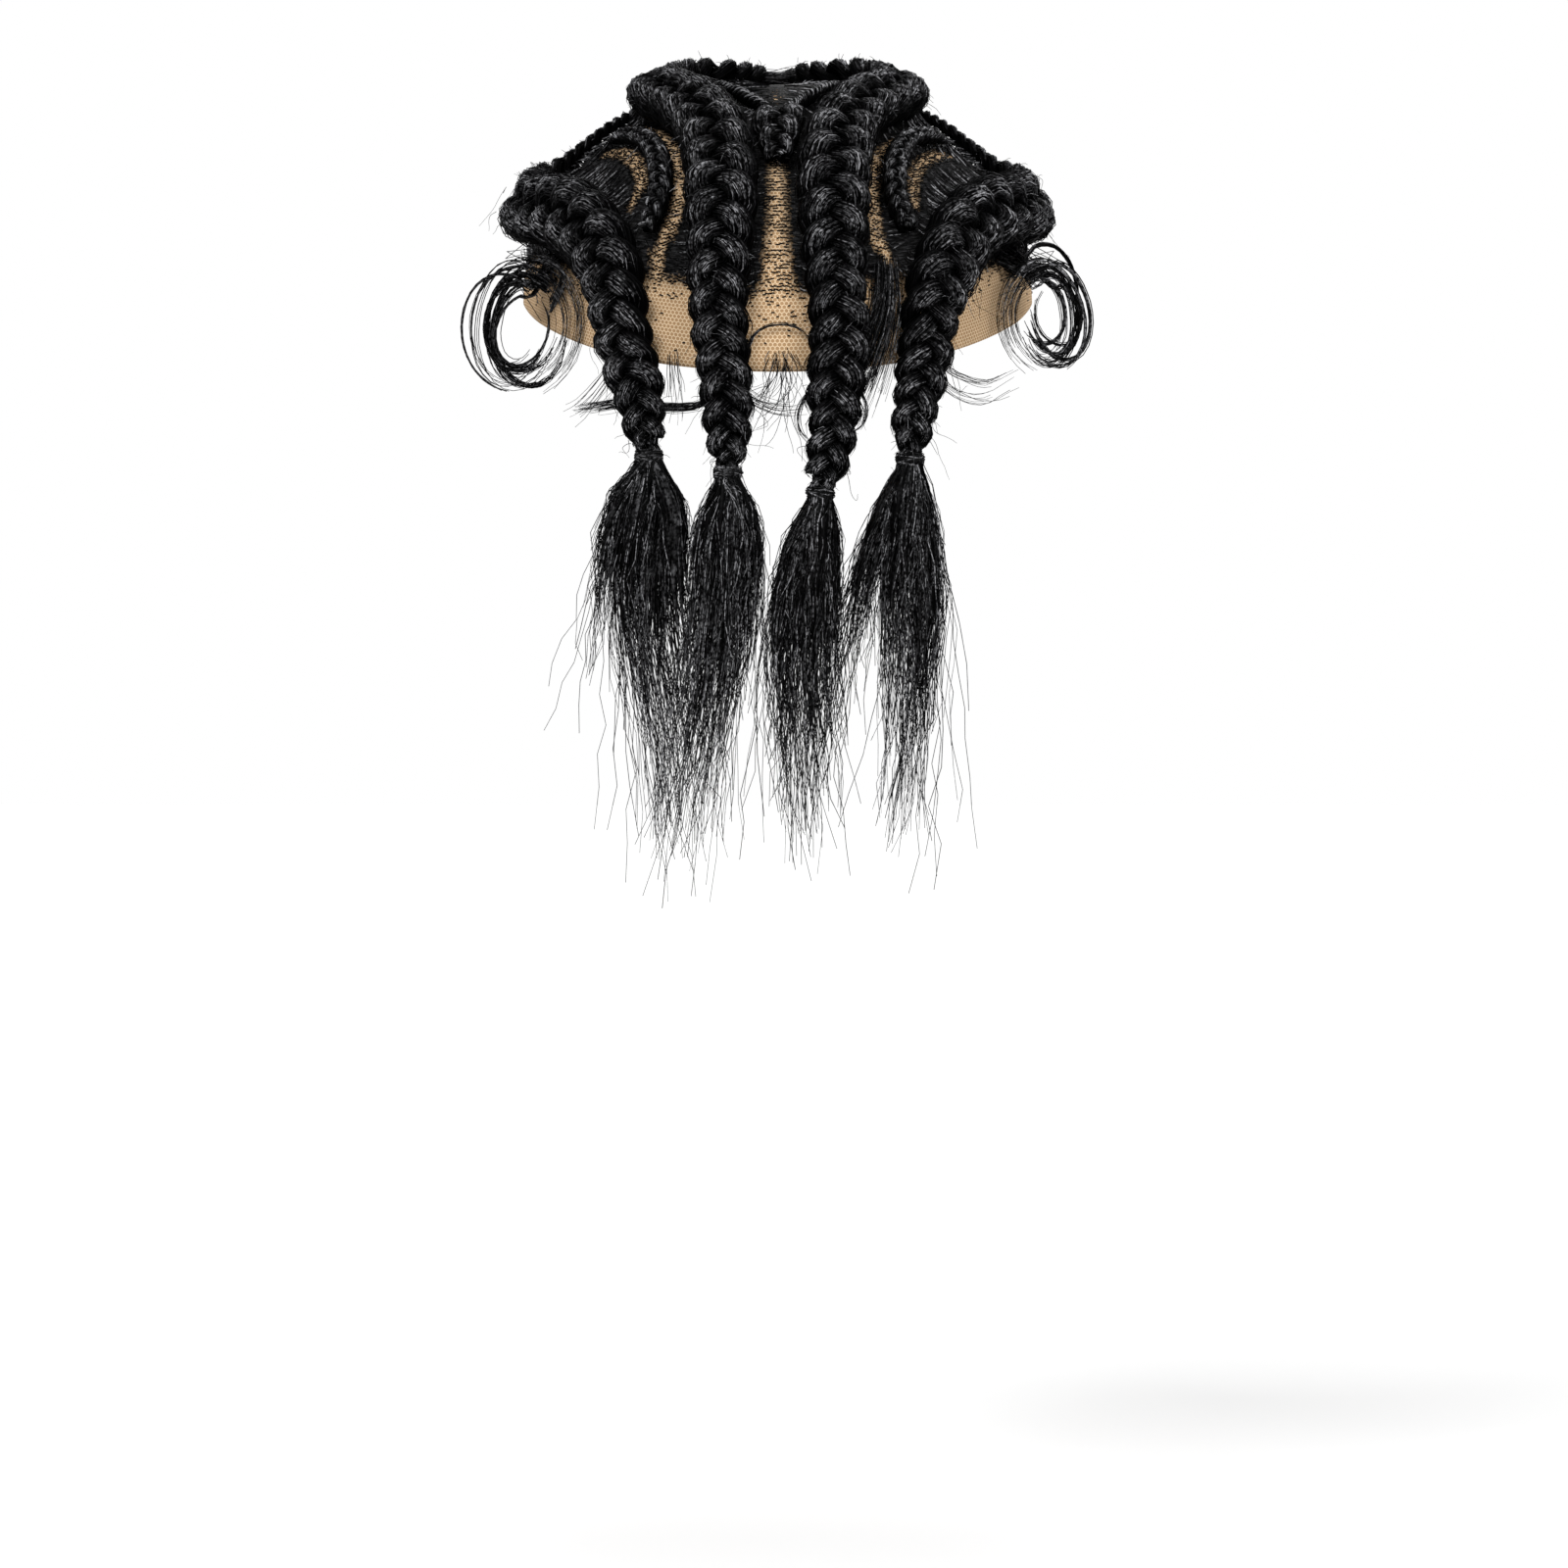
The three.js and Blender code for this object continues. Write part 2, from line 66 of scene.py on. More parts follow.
# Partings: degrees across and along the head from the crown, and half the bare width in millimetres
PARTINGS = {
    "centre_back": [
        (0, -48.5, 2.1), (0, -53, 2.4), (0, -60, 2.6), (0, -67, 3.1), (0, -74, 4.4), (0, -79, 6.5)],
    "crescent_outer_left": [
        (-38.5, -16, 1.2), (-35, -18.6, 1.9), (-28.9, -26.6, 2.2), (-24.8, -33.8, 2.2), (-22.1, -40.5, 2.2),
        (-21.3, -47.8, 2.2), (-21.7, -52.8, 2.2), (-23.2, -57.2, 2.2), (-25.8, -60.9, 2), (-28.6, -64, 2),
        (-29.8, -67.2, 1.4), (-29.2, -70.8, 1.4), (-28, -74.5, 2.4)],
    "crescent_inner_left": [
        (-42, -23, 0.9), (-38.9, -26.1, 1.6), (-34.2, -32.4, 1.9), (-31.5, -38.6, 2), (-30.5, -44.8, 1.7),
        (-32.2, -48.1, 1.2), (-35.4, -50.4, 0.7)],
    "crescent_outer_right": [
        (39, -18.5, 1.2), (34, -24.6, 1.9), (28.2, -31.7, 2.2), (23.3, -38.9, 2.2), (20.5, -45.2, 2.2),
        (20.3, -52.1, 2.2), (21.2, -57.8, 2.2), (22.4, -61.9, 2), (25.2, -64.6, 1.9), (27.6, -66.8, 1)],
    "crescent_inner_right": [
        (41, -24.5, 0.9), (38.2, -28.1, 1.5), (33.7, -35, 1.7), (31.1, -41.2, 1.7), (30.6, -46.1, 1.5),
        (32, -51, 0.8)],
    "crown": [(0, -11, 0.6), (0, -16, 0.8), (0, -20, 1.6), (0, -22.5, 1.6), (0, -26, 0.7)],
    "middle_front": [(0, 61, 0.9), (0, 40, 0.8), (0, 20, 0.7), (0, 8, 0.6)],
}
SIDE_FRONT_PARTING = [
    (18, 58, 0.9), (15, 42, 0.9), (14.5, 24, 0.9), (18, 12, 0.9), (28, 3, 0.8), (37, -12, 0.8)]


def mirrored(rows, side):
    return [(across * side, along, width) for across, along, width in rows]


for word, side in SIDES.items():
    PARTINGS["side_front_" + word] = mirrored(SIDE_FRONT_PARTING, side)


def head_surface(across, along):
    across, along = np.broadcast_arrays(np.asarray(across, float), np.asarray(along, float))
    polar = np.radians(np.hypot(across, along))
    azimuth = np.arctan2(across, -along)
    half = np.where(along < 0, HEAD.half_back, HEAD.half_front)
    end_drop = np.where(along < 0, HEAD.drop_back, HEAD.drop_front)
    drop = HEAD.drop_side + (end_drop - HEAD.drop_side) * np.cos(azimuth) ** 2
    reach = 1 / np.hypot(np.sin(azimuth) / HEAD.half_width, np.cos(azimuth) / half)
    radius = reach * np.sin(polar)
    return np.stack(
        [radius * np.sin(azimuth), -radius * np.cos(azimuth), -drop * (1 - np.cos(polar))], axis=-1)


def unit(vectors):
    return vectors / np.linalg.norm(vectors, axis=-1, keepdims=True)


def head_normal(across, along):
    step = 0.05
    across, along = np.asarray(across, float), np.asarray(along, float)
    right = head_surface(across + step, along) - head_surface(across - step, along)
    front = head_surface(across, along + step) - head_surface(across, along - step)
    return unit(np.cross(right, front))


def head_point(across, along, lift):
    return head_surface(across, along) + head_normal(across, along) * np.asarray(lift, float)[..., None]


def smoothstep(low, high, value):
    share = np.clip((value - low) / (high - low), 0, 1)
    return share * share * (3 - 2 * share)


def by_azimuth(table, across, along):
    """Values from a table by the direction in which the places lie, 0 being straight back."""
    turns, values = np.array(table, float).T
    azimuth = np.abs(np.degrees(np.arctan2(across, -along)))
    after = np.clip(np.searchsorted(turns, azimuth), 1, len(turns) - 1)
    share = smoothstep(turns[after - 1], turns[after], azimuth)
    return values[after - 1] + (values[after] - values[after - 1]) * share


def past_hairline(across, along):
    return np.hypot(across, along) - by_azimuth(HAIRLINE_BY_AZIMUTH, across, along)


def smooth_rows(rows, count):
    """A smooth line through rows of numbers, at evenly spread places from the first row to the last."""
    rows = np.asarray(rows, float)
    padded = np.vstack([2 * rows[0] - rows[1], rows, 2 * rows[-1] - rows[-2]])
    place = np.linspace(0, len(rows) - 1, count)
    first = np.minimum(place.astype(int), len(rows) - 2)
    t = (place - first)[:, None]
    before, here, after, beyond = (padded[first + n] for n in range(4))
    leave, arrive = (after - before) / 2, (beyond - here) / 2
    return (here + leave * t + (3 * (after - here) - 2 * leave - arrive) * t ** 2
            + (2 * (here - after) + leave + arrive) * t ** 3)


def nearest_of(points, samples, block=2000):
    """For each point, which sample is nearest and how far it is, a block of points at a time."""
    chosen, distance = np.zeros(len(points), int), np.zeros(len(points))
    for first in range(0, len(points), block):
        part = slice(first, first + block)
        gaps = ((points[part, None, :] - samples[None]) ** 2).sum(-1)
        chosen[part], distance[part] = gaps.argmin(1), np.sqrt(gaps.min(1))
    return chosen, distance


def bareness(across, along):
    """How bare the net is: 1 along the partings and in the strip above the hem, 0 under hair."""
    points = head_surface(across, along)
    bare = smoothstep(-HAIRLINE_SOFTNESS, HAIRLINE_SOFTNESS, past_hairline(across, along))
    for rows in PARTINGS.values():
        line = smooth_rows(rows, PARTING_PLACES)
        chosen, distance = nearest_of(points, head_surface(line[:, 0], line[:, 1]))
        inner, outer = line[chosen, 2] - PARTING_SOFTNESS / 2, line[chosen, 2] + PARTING_SOFTNESS
        bare = np.maximum(bare, 1 - smoothstep(inner, outer, distance))
    return bare


grid_axis = np.arange(-GRID_END, GRID_END + GRID_STEP / 2, GRID_STEP)
grid_across, grid_along = (side.ravel() for side in np.meshgrid(grid_axis, grid_axis))
BARE_GRID = bareness(grid_across, grid_along).reshape(len(grid_axis), len(grid_axis))


def bare_at(across, along):
    """Bareness of the net at any places, read between the points of the grid."""
    just_inside = 0.001
    last = len(grid_axis) - 1 - just_inside
    column, line = (np.clip((place + GRID_END) / GRID_STEP, 0, last) for place in (across, along))
    x, y = column.astype(int), line.astype(int)
    u, v = column - x, line - y
    return ((BARE_GRID[y, x] * (1 - u) + BARE_GRID[y, x + 1] * u) * (1 - v)
            + (BARE_GRID[y + 1, x] * (1 - u) + BARE_GRID[y + 1, x + 1] * u) * v)


def new_mesh(name, points, faces):
    mesh = bpy.data.meshes.new(name)
    mesh.from_pydata((np.asarray(points) * MM).tolist(), [], faces)
    mesh.validate()
    mesh.polygons.foreach_set("use_smooth", np.ones(len(mesh.polygons), bool))
    mesh.update()
    return mesh


def set_values(mesh, name, values):
    layer = mesh.attributes.new(name, "FLOAT", "POINT")
    layer.data.foreach_set("value", np.asarray(values, np.float32))


def set_uv(mesh, name, corners):
    mesh.uv_layers.new(name=name).data.foreach_set("uv", np.asarray(corners, np.float32).ravel())


def new_piece(mesh, material, slot, *nodes):
    """A finished piece at the origin that rides on the one body and may stand for CAD nodes."""
    piece = bpy.data.objects.new(mesh.name, mesh)
    bpy.context.scene.collection.objects.link(piece)
    if not mesh.materials:
        mesh.materials.append(material)
    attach(piece, "root")
    if nodes:
        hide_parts(*nodes)


class Nodes:
    """Short ways to add nodes to a tree. An input is given a value, or a socket to link to."""

    def __init__(self, tree):
        self.tree = tree

    def give(self, node, inputs):
        for socket, value in inputs.items():
            if isinstance(value, bpy.types.NodeSocket):
                self.tree.links.new(value, node.inputs[socket])
            else:
                node.inputs[socket].default_value = value
        return node

    def add(self, kind, inputs=(), **settings):
        node = self.tree.nodes.new(kind)
        for key, value in settings.items():
            setattr(node, key, value)
        return self.give(node, dict(inputs))

    def number(self, operation, *values):
        return self.add("ShaderNodeMath", enumerate(values), operation=operation).outputs[0]

    def vector(self, operation, *values):
        return self.add("ShaderNodeVectorMath", enumerate(values), operation=operation).outputs

    def place(self):
        return self.add("ShaderNodeTexCoord").outputs["Object"]

    def noise(self, place, scale, detail):
        inputs = {"Vector": place, "Scale": scale, "Detail": detail}
        return self.add("ShaderNodeTexNoise", inputs).outputs["Fac"]

    def stretched(self, place, scale):
        return self.add("ShaderNodeMapping", {"Vector": place, "Scale": scale}).outputs["Vector"]

    def remap(self, value, start=0.0, stop=1.0, low=0.0, high=1.0, **settings):
        inputs = {"Value": value, "From Min": start, "From Max": stop, "To Min": low, "To Max": high}
        return self.add("ShaderNodeMapRange", inputs, **settings).outputs["Result"]

    def mix(self, share, first, second, **settings):
        inputs = {0: share, 6: first, 7: second}
        return self.add("ShaderNodeMix", inputs, data_type="RGBA", **settings).outputs[2]

    def bump(self, height, strength, depth):
        inputs = {"Strength": strength, "Distance": depth, "Height": height}
        return self.add("ShaderNodeBump", inputs).outputs["Normal"]


def new_material(name):
    material = bpy.data.materials.new(name)
    material.use_nodes = True
    return material, Nodes(material.node_tree), material.node_tree.nodes["Principled BSDF"]


def new_group(name, kind, given, results):
    """A node group with named sockets: its nodes, what it is given, and the node for its results."""
    group = bpy.data.node_groups.new(name, kind)
    for in_out, sockets in (("INPUT", given), ("OUTPUT", results)):
        for label, value in sockets.items():
            group.interface.new_socket(label, in_out=in_out, socket_type="NodeSocket" + value)
    nodes = Nodes(group)
    return nodes, nodes.add("NodeGroupInput").outputs, nodes.add("NodeGroupOutput")


def honeycomb_group():
    """Shader group: mask of the threads of a six-sided net, from a place counted in cells."""
    nodes, given, out = new_group(
        "lace_honeycomb", "ShaderNodeTree", {"Cells": "Vector", "Thread Width": "Float"},
        {"Threads": "Float"})
    repeat, half = (1, math.sqrt(3), 1), (0.5, math.sqrt(3) / 2, 0)

    def in_cell(cells):
        return nodes.vector("SUBTRACT", nodes.vector("MODULO", cells, repeat)[0], half)[0]

    even = in_cell(given["Cells"])
    odd = in_cell(nodes.vector("ADD", given["Cells"], half)[0])
    odd_nearer = nodes.number(
        "LESS_THAN", nodes.vector("LENGTH", odd)["Value"], nodes.vector("LENGTH", even)["Value"])
    nearer = nodes.add("ShaderNodeMix", {0: odd_nearer, 4: even, 5: odd}, data_type="VECTOR").outputs[1]
    from_middle = nodes.vector("ABSOLUTE", nearer)[0]
    slanted = nodes.vector("DOT_PRODUCT", from_middle, half)["Value"]
    upright = nodes.add("ShaderNodeSeparateXYZ", {"Vector": from_middle}).outputs["X"]
    inner = nodes.number("SUBTRACT", half[0], given["Thread Width"])
    threads = nodes.remap(
        nodes.number("MAXIMUM", slanted, upright), inner, half[0], interpolation_type="SMOOTHSTEP")
    nodes.give(out, {"Threads": threads})
    return nodes.tree


def lace_material():
    material, nodes, shader = new_material("tan_lace")
    cells = nodes.add("ShaderNodeUVMap", uv_map="net_cells").outputs["UV"]
    cover = nodes.add("ShaderNodeAttribute", attribute_name="hair_cover").outputs["Fac"]
    place = nodes.place()
    threads = nodes.add(
        "ShaderNodeGroup", {"Cells": cells, "Thread Width": NET.thread},
        node_tree=honeycomb_group()).outputs["Threads"]
    mottle = nodes.remap(nodes.noise(place, scale=90.0, detail=3.0), low=0.82, high=1.08)
    # Painted shade: the lace darkens where hair starts to cover it, along the edges of the partings and the
    # hairline
    painted_shade_near_hair = nodes.remap(cover, stop=0.5, low=1.0, high=0.42)
    shade = nodes.number("MULTIPLY", mottle, painted_shade_near_hair)
    lace = nodes.mix(1.0, nodes.mix(threads, LACE_HOLE, LACE_THREAD), shade, blend_type="MULTIPLY")
    # Painted sheen: under hair the net is black, streaked with a grey painted sheen across the head
    sheen_streaks = nodes.noise(nodes.stretched(cells, (0.35, 3.2, 1.0)), scale=1.0, detail=4.0)
    hair = nodes.mix(nodes.remap(sheen_streaks, start=0.48, stop=0.75), COVERED_NET, COVERED_SHEEN)
    ragged = nodes.number("MULTIPLY_ADD", nodes.noise(place, scale=900.0, detail=2.0), COVER_FRAY, cover)
    nodes.give(shader, {
        "Base Color": nodes.mix(nodes.remap(ragged, start=0.72, stop=1.08), lace, hair),
        "Normal": nodes.bump(threads, strength=0.5, depth=0.0003),
        "Roughness": 0.85, "Specular IOR Level": 0.08})
    return material


def tube_faces(places, sides, first=0):
    """Quads of a tube through rings of points, and triangles to a point after them that closes each end."""
    corner = first + np.arange(places * sides).reshape(places, sides)
    beside = np.roll(corner, -1, axis=1)
    quads = np.stack([corner[:-1], corner[1:], beside[1:], beside[:-1]], axis=-1)
    pole = np.full(sides, first + corner.size)
    ends = np.stack([pole, corner[0], beside[0], pole + 1, beside[-1], corner[-1]], axis=-1)
    return quads.reshape(-1, 4).tolist(), ends.reshape(-1, 3).tolist()


def quad_corners(rings):
    """Values for the corners of a tube's quads, from rings that come round to their first point again."""
    corners = [rings[:-1, :-1], rings[1:, :-1], rings[1:, 1:], rings[:-1, 1:]]
    return np.stack(corners, axis=2).reshape(-1, rings.shape[-1])


def lace_cap_mesh():
    """Rings down the outside of the wall and up its inside, closed by a point at the top of each."""
    sectors, outer, inner = CAP_MESH.sectors, CAP_MESH.outer_rings, CAP_MESH.inner_rings
    azimuth = np.radians(360 * np.arange(sectors) / sectors - 180)
    right, front = np.sin(azimuth), -np.cos(azimuth)
    shares = np.concatenate([(np.arange(outer) + 1) / outer, (np.arange(inner)[::-1] + 1) / inner])
    polar = shares[:, None] * by_azimuth(HEM_BY_AZIMUTH, right, front)
    across, along = (polar * right).ravel(), (polar * front).ravel()
    rings = head_point(across, along, np.repeat([CAP_WALL, 0.0], [outer * sectors, inner * sectors]))
    poles = head_point(np.zeros(2), np.zeros(2), np.array([CAP_WALL, 0.0]))
    first_cell, top = NET.shift
    u = np.arange(sectors + 1) / sectors * round(2 * math.pi * NET.girth_radius / NET.cell) + first_cell
    down = np.radians(polar) * NET.down_radius / NET.cell + top
    cells = np.stack(np.broadcast_arrays(u, np.hstack([down, down[:, :1]])), axis=-1)
    pole_cells = np.stack(np.broadcast_arrays(u[:-1], top), axis=-1)
    upper, lower = cells[0], cells[-1]
    end_cells = np.stack([pole_cells, upper[:-1], upper[1:], pole_cells, lower[1:], lower[:-1]], axis=1)
    quads, ends = tube_faces(len(shares), sectors)
    mesh = new_mesh("lace_cap_net", np.vstack([rings, poles]), quads + ends)
    set_uv(mesh, "net_cells", np.vstack([quad_corners(cells), end_cells.reshape(-1, 2)]))
    cover = 1 - bare_at(across, along)
    cover[outer * sectors:] = 0
    set_values(mesh, "hair_cover", np.append(cover, [1, 0]))
    return mesh


new_piece(lace_cap_mesh(), lace_material(), "lace", "lace_cap")


# Thick cornrows: kinky straight black hair plaited underhand in three strands and sewn flat onto the cap.
# They start thin at the front hairline, take up more hair as they run back over the crown, swing out in a
# hook, come back and hang free below the hem. Each strand is a dense body with fibres lying over it.

SEAT_GAP = 0.8
STRANDS = 3
ROUTE_PLACES = 1500
PLAIT = Sizes(
    height_base=1.8, height_share=0.58, pitch_base=1.6, pitch_share=0.44, sway=0.315,
    dive=0.24, twist=0.29, rib=0.85, half_breadth=0.195, half_thickness=0.255, flatness=0.7,
    start_length=9.0, start_share=0.45, fullness=0.1, full_widths=(10, 19))
BODY_MESH = Sizes(
    sides=10, step=0.26, share=0.92, lead=0.3, crest_power=2.5, crest_gain=1.4,
    uv_length=10)
# Black hair, and the grey painted sheen that its colour is mixed towards where it would catch the light
HAIR_DARK = (0.0006, 0.0006, 0.0007, 1)
HAIR_SHEEN = (0.30, 0.30, 0.315, 1)
SHEEN_MOST, SHEEN_POWER, SHEEN_ALONG = 0.8, 3, (0.1, 1.9)
FIBRE_SIDES = 3
FIBRE_NUMBER_STEP = 0.618
FIBRE_NUMBER_SPREAD = 60.0

# Degrees across and along the head from the crown, and width in millimetres; left and right are mirrored
INNER_ROW = [
    (9, 60, 5), (6, 42, 6), (4.3, 24, 9), (4.2, 10, 12.4), (11, 2, 13), (19, -2.5, 17), (24.5, -11.5, 18.5),
    (22.5, -23, 19), (16.5, -32.5, 19.5), (12.3, -42, 20), (10.8, -51, 21), (11, -60, 21), (12, -68.5, 19),
    (13.2, -77, 17.3)]
OUTER_ROW = [
    (27, 56, 4.5), (24, 38, 4.6), (25, 20, 4.8), (30, 6, 4.8), (38, -2, 4.8), (46, -5, 5.2), (53, -6.5, 8),
    (59.5, -10, 16), (63, -17.5, 20.5), (61, -27, 21.5), (56, -36.5, 21.5), (49, -45, 21.5), (42, -56, 20.8),
    (39, -65.5, 20)]

# Free plaits: last rows on the cap, then hanging rows of x, y, z and width in millimetres down to the tie
FALLS = {
    "inner_left": (
        [(-13.6, -84.5, 16.4)],
        [(-15.4, -104, -103.2, 15.2), (-14.9, -104, -115, 14), (-14.6, -104, -121, 12),
         (-14.9, -104, -124.2, 7.4), (-14.9, -104, -127.4, 7.4)]),
    "inner_right": (
        [(15, -84.5, 17.6)],
        [(17.3, -104, -103.2, 16.4), (16.9, -104, -114, 14.6), (15, -104, -124, 13.2),
         (14.1, -104, -129, 11.4), (12.9, -104, -130.3, 7.4), (12.9, -104, -133.5, 7.4)]),
    "outer_left": (
        [(-39.3, -73.7, 18.3), (-39.9, -81.5, 17.6)],
        [(-42.2, -92, -101.5, 15.4), (-40.6, -92, -112, 13), (-39.6, -92, -117, 11),
         (-38.9, -92, -118.4, 7.4), (-38.9, -92, -121.6, 7.4)]),
    "outer_right": (
        [(37.6, -73, 18.3), (38.7, -80.5, 17.2)],
        [(42.8, -92, -102, 14.6), (41, -92, -111, 12.8), (40.6, -92, -117, 11.4),
         (40.1, -92, -119.3, 7.4), (40.1, -92, -122.5, 7.4)]),
}

# Columns of a route, sampled along a cornrow
COLUMNS = {
    "centre": slice(0, 3), "tangent": slice(3, 6), "side": slice(6, 9), "out": slice(9, 12), "width": 12,
    "height": 13, "rate": 14, "taper": 15, "arc": 16}

# Lobes, where a strand lies on top: phase from one to the next, where its fibres start before that and end
# after it, how loosely they lie, how much painted sheen they get, and how that painted sheen goes along them,
# from painted shade at the ends to a painted highlight in the middle
LOBES = {
    "plaited": Sizes(
        period=np.pi, before=0.5, after=2.2, loose=1.0, light=1,
        glow=((0, 0.18, 0.34, 0.5, 0.72, 0.86, 1), (0, 0.03, 0.4, 1.0, 0.85, 0.35, 0))),
    "twisted": Sizes(
        period=2 * np.pi, before=0.0, after=np.pi, loose=0.25, light=3.5,
        glow=((0, 0.25, 0.5, 0.75, 1), (0, 0.4, 1, 0.4, 0)))}
LOBE_FIBRES = Sizes(
    places=6, fewest=5, tip=0.15, tip_width=0.25, shortest=0.4, start=(-0.25, 0.5),
    stop=(-0.2, 0.55), jostle=(-0.3, 1.3), spread=1.15, fan=0.22, seat=0.985, seat_spread=0.045, strays=0.25,
    stray_rise=(0.05, 0.35), stray_from=0.45, stray_curve=4, crest_power=3.5, crest_gain=1.875,
    tone=(0.1, 0.5), tone_along=(0.2, 1.8), thickness=(0.6, 1.2))
PLAIT_HAIR = dict(radius=0.17, crimp_height=0.4, crimp_length=2.4)
FUZZ = Sizes(
    length=5.0, shortest=0.4, seat=0.98, past_side=0.3, along=(-0.2, 1.0), tousle=0.3,
    droop=0.35, full_width=14, thickness=(0.6, 0.5, 0.45, 0.3), crimp=2.0)


def plait_height(width):
    return PLAIT.height_base + PLAIT.height_share * width


def plait_route(on_cap, hanging=(), closeness=1.0, twisted=False):
    """Middle line, directions, sizes and plaiting phase of a cornrow, sampled along its length."""
    across, along, widths = np.array(on_cap, float).T
    points = head_point(across, along, CAP_WALL + SEAT_GAP + plait_height(widths) / 2)
    outward = head_normal(across, along)
    if len(hanging):
        hung = np.array(hanging, float)
        points = np.vstack([points, hung[:, :3]])
        outward = np.vstack([outward, np.tile([0.0, -1.0, 0.0], (len(hung), 1))])
        widths = np.append(widths, hung[:, 3])
    rows = smooth_rows(np.column_stack([points, outward, widths]), ROUTE_PLACES)
    centre, outward, width = rows[:, :3], rows[:, 3:6], rows[:, 6]
    steps = np.linalg.norm(np.diff(centre, axis=0), axis=1)
    arc = np.append(0, np.cumsum(steps))
    tangent = unit(np.gradient(centre, axis=0))
    side = unit(np.cross(tangent, outward))
    out = unit(np.cross(side, tangent))
    rate = 2 * np.pi * closeness / (STRANDS * (PLAIT.pitch_base + PLAIT.pitch_share * width))
    phase = np.append(0, np.cumsum(steps * (rate[1:] + rate[:-1]) / 2))
    taper = PLAIT.start_share + (1 - PLAIT.start_share) * smoothstep(0, PLAIT.start_length, arc)
    columns = np.column_stack([centre, tangent, side, out, width, plait_height(width), rate, taper, arc])
    return Sizes(phase=phase, columns=columns, twisted=twisted)


def by_column(row):
    return Sizes(**{name: row[..., column] for name, column in COLUMNS.items()})


def route_at(route, phase):
    return by_column(np.stack(
        [np.interp(phase, route.phase, column) for column in route.columns.T], axis=-1))


def strand_points(route, phase, strand, around, share):
    """Points of one strand: around its section, a quarter turn being straight out from the head."""
    at = route_at(route, phase)
    width, height, taper = at.width, at.height, at.taper
    turn = phase + 2 * np.pi * strand / STRANDS
    breadth = PLAIT.half_breadth * width * share * np.cos(around)
    if route.twisted:
        sway, dive = PLAIT.twist * np.cos(turn), PLAIT.twist * np.sin(turn)
        slope = -PLAIT.twist * width * np.sin(turn) * at.rate
        breadth = breadth * PLAIT.rib
    else:
        sway, dive = PLAIT.sway * np.sin(turn), PLAIT.dive * np.sin(2 * turn)
        slope = PLAIT.sway * width * np.cos(turn) * at.rate
    lean = np.hypot(1, slope)
    rounded = np.sign(np.sin(around)) * np.abs(np.sin(around)) ** PLAIT.flatness
    thickness = PLAIT.half_thickness * height * share * rounded
    fuller = 1 + PLAIT.fullness * smoothstep(*PLAIT.full_widths, width)
    aside = (sway * width + breadth / lean) * taper * fuller
    ahead = -breadth * slope / lean * taper
    outward = (dive * height + thickness) * taper - (1 - taper) * height / 2
    return (at.centre + at.side * aside[..., None] + at.tangent * ahead[..., None]
            + at.out * outward[..., None])


def painted_sheen_group():
    """Shader group: colour and roughness of a hair, black with a painted sheen by its share and its place."""
    nodes, given, out = new_group(
        "hair_painted_sheen", "ShaderNodeTree", {"Painted Sheen": "Float", "Place": "Vector"},
        {"Colour": "Color", "Roughness": "Float"})
    drift = nodes.noise(given["Place"], scale=220.0, detail=3.0)
    patches = nodes.remap(drift, start=0.3, stop=0.7, low=0.15, high=1.5)
    grain = nodes.noise(given["Place"], scale=1000.0, detail=2.0)
    dashes = nodes.remap(grain, start=0.4, stop=0.64, low=0.04, high=2.3)
    sheen = nodes.number("MULTIPLY", nodes.number("MULTIPLY", given["Painted Sheen"], patches), dashes)
    nodes.give(out, {
        "Colour": nodes.mix(sheen, HAIR_DARK, HAIR_SHEEN),
        "Roughness": nodes.remap(drift, low=0.36, high=0.6)})
    return nodes.tree


PAINTED_SHEEN_TREE = painted_sheen_group()


def hair_material(name, sheen_attribute, shine, streaks=False):
    """Black hair with a painted sheen; the bodies get streaks along their strands, in relief and in the
    sheen.
    """
    material, nodes, shader = new_material(name)
    tone = nodes.add("ShaderNodeAttribute", attribute_name=sheen_attribute).outputs["Fac"]
    if streaks:
        strands = nodes.add("ShaderNodeUVMap", uv_map="strand").outputs["UV"]
        lines = nodes.noise(nodes.stretched(strands, (36.0, 4.5, 1.0)), scale=1.0, detail=4.0)
        tone = nodes.number("MULTIPLY", nodes.remap(lines, start=0.52, stop=0.75, high=0.6), tone)
        nodes.give(shader, {"Normal": nodes.bump(lines, strength=0.9, depth=0.0006)})
    hair = nodes.add("ShaderNodeGroup", {"Painted Sheen": tone, "Place": nodes.place()}, node_tree=PAINTED_SHEEN_TREE).outputs
    nodes.give(shader, {
        "Base Color": hair["Colour"], "Roughness": hair["Roughness"], "Specular IOR Level": shine})
    return material


HAIR_BODY = hair_material("black_hair_body", "lobe", shine=0.01, streaks=True)
HAIR_FIBRE = hair_material("black_hair_fibre", "tone", shine=0.035)


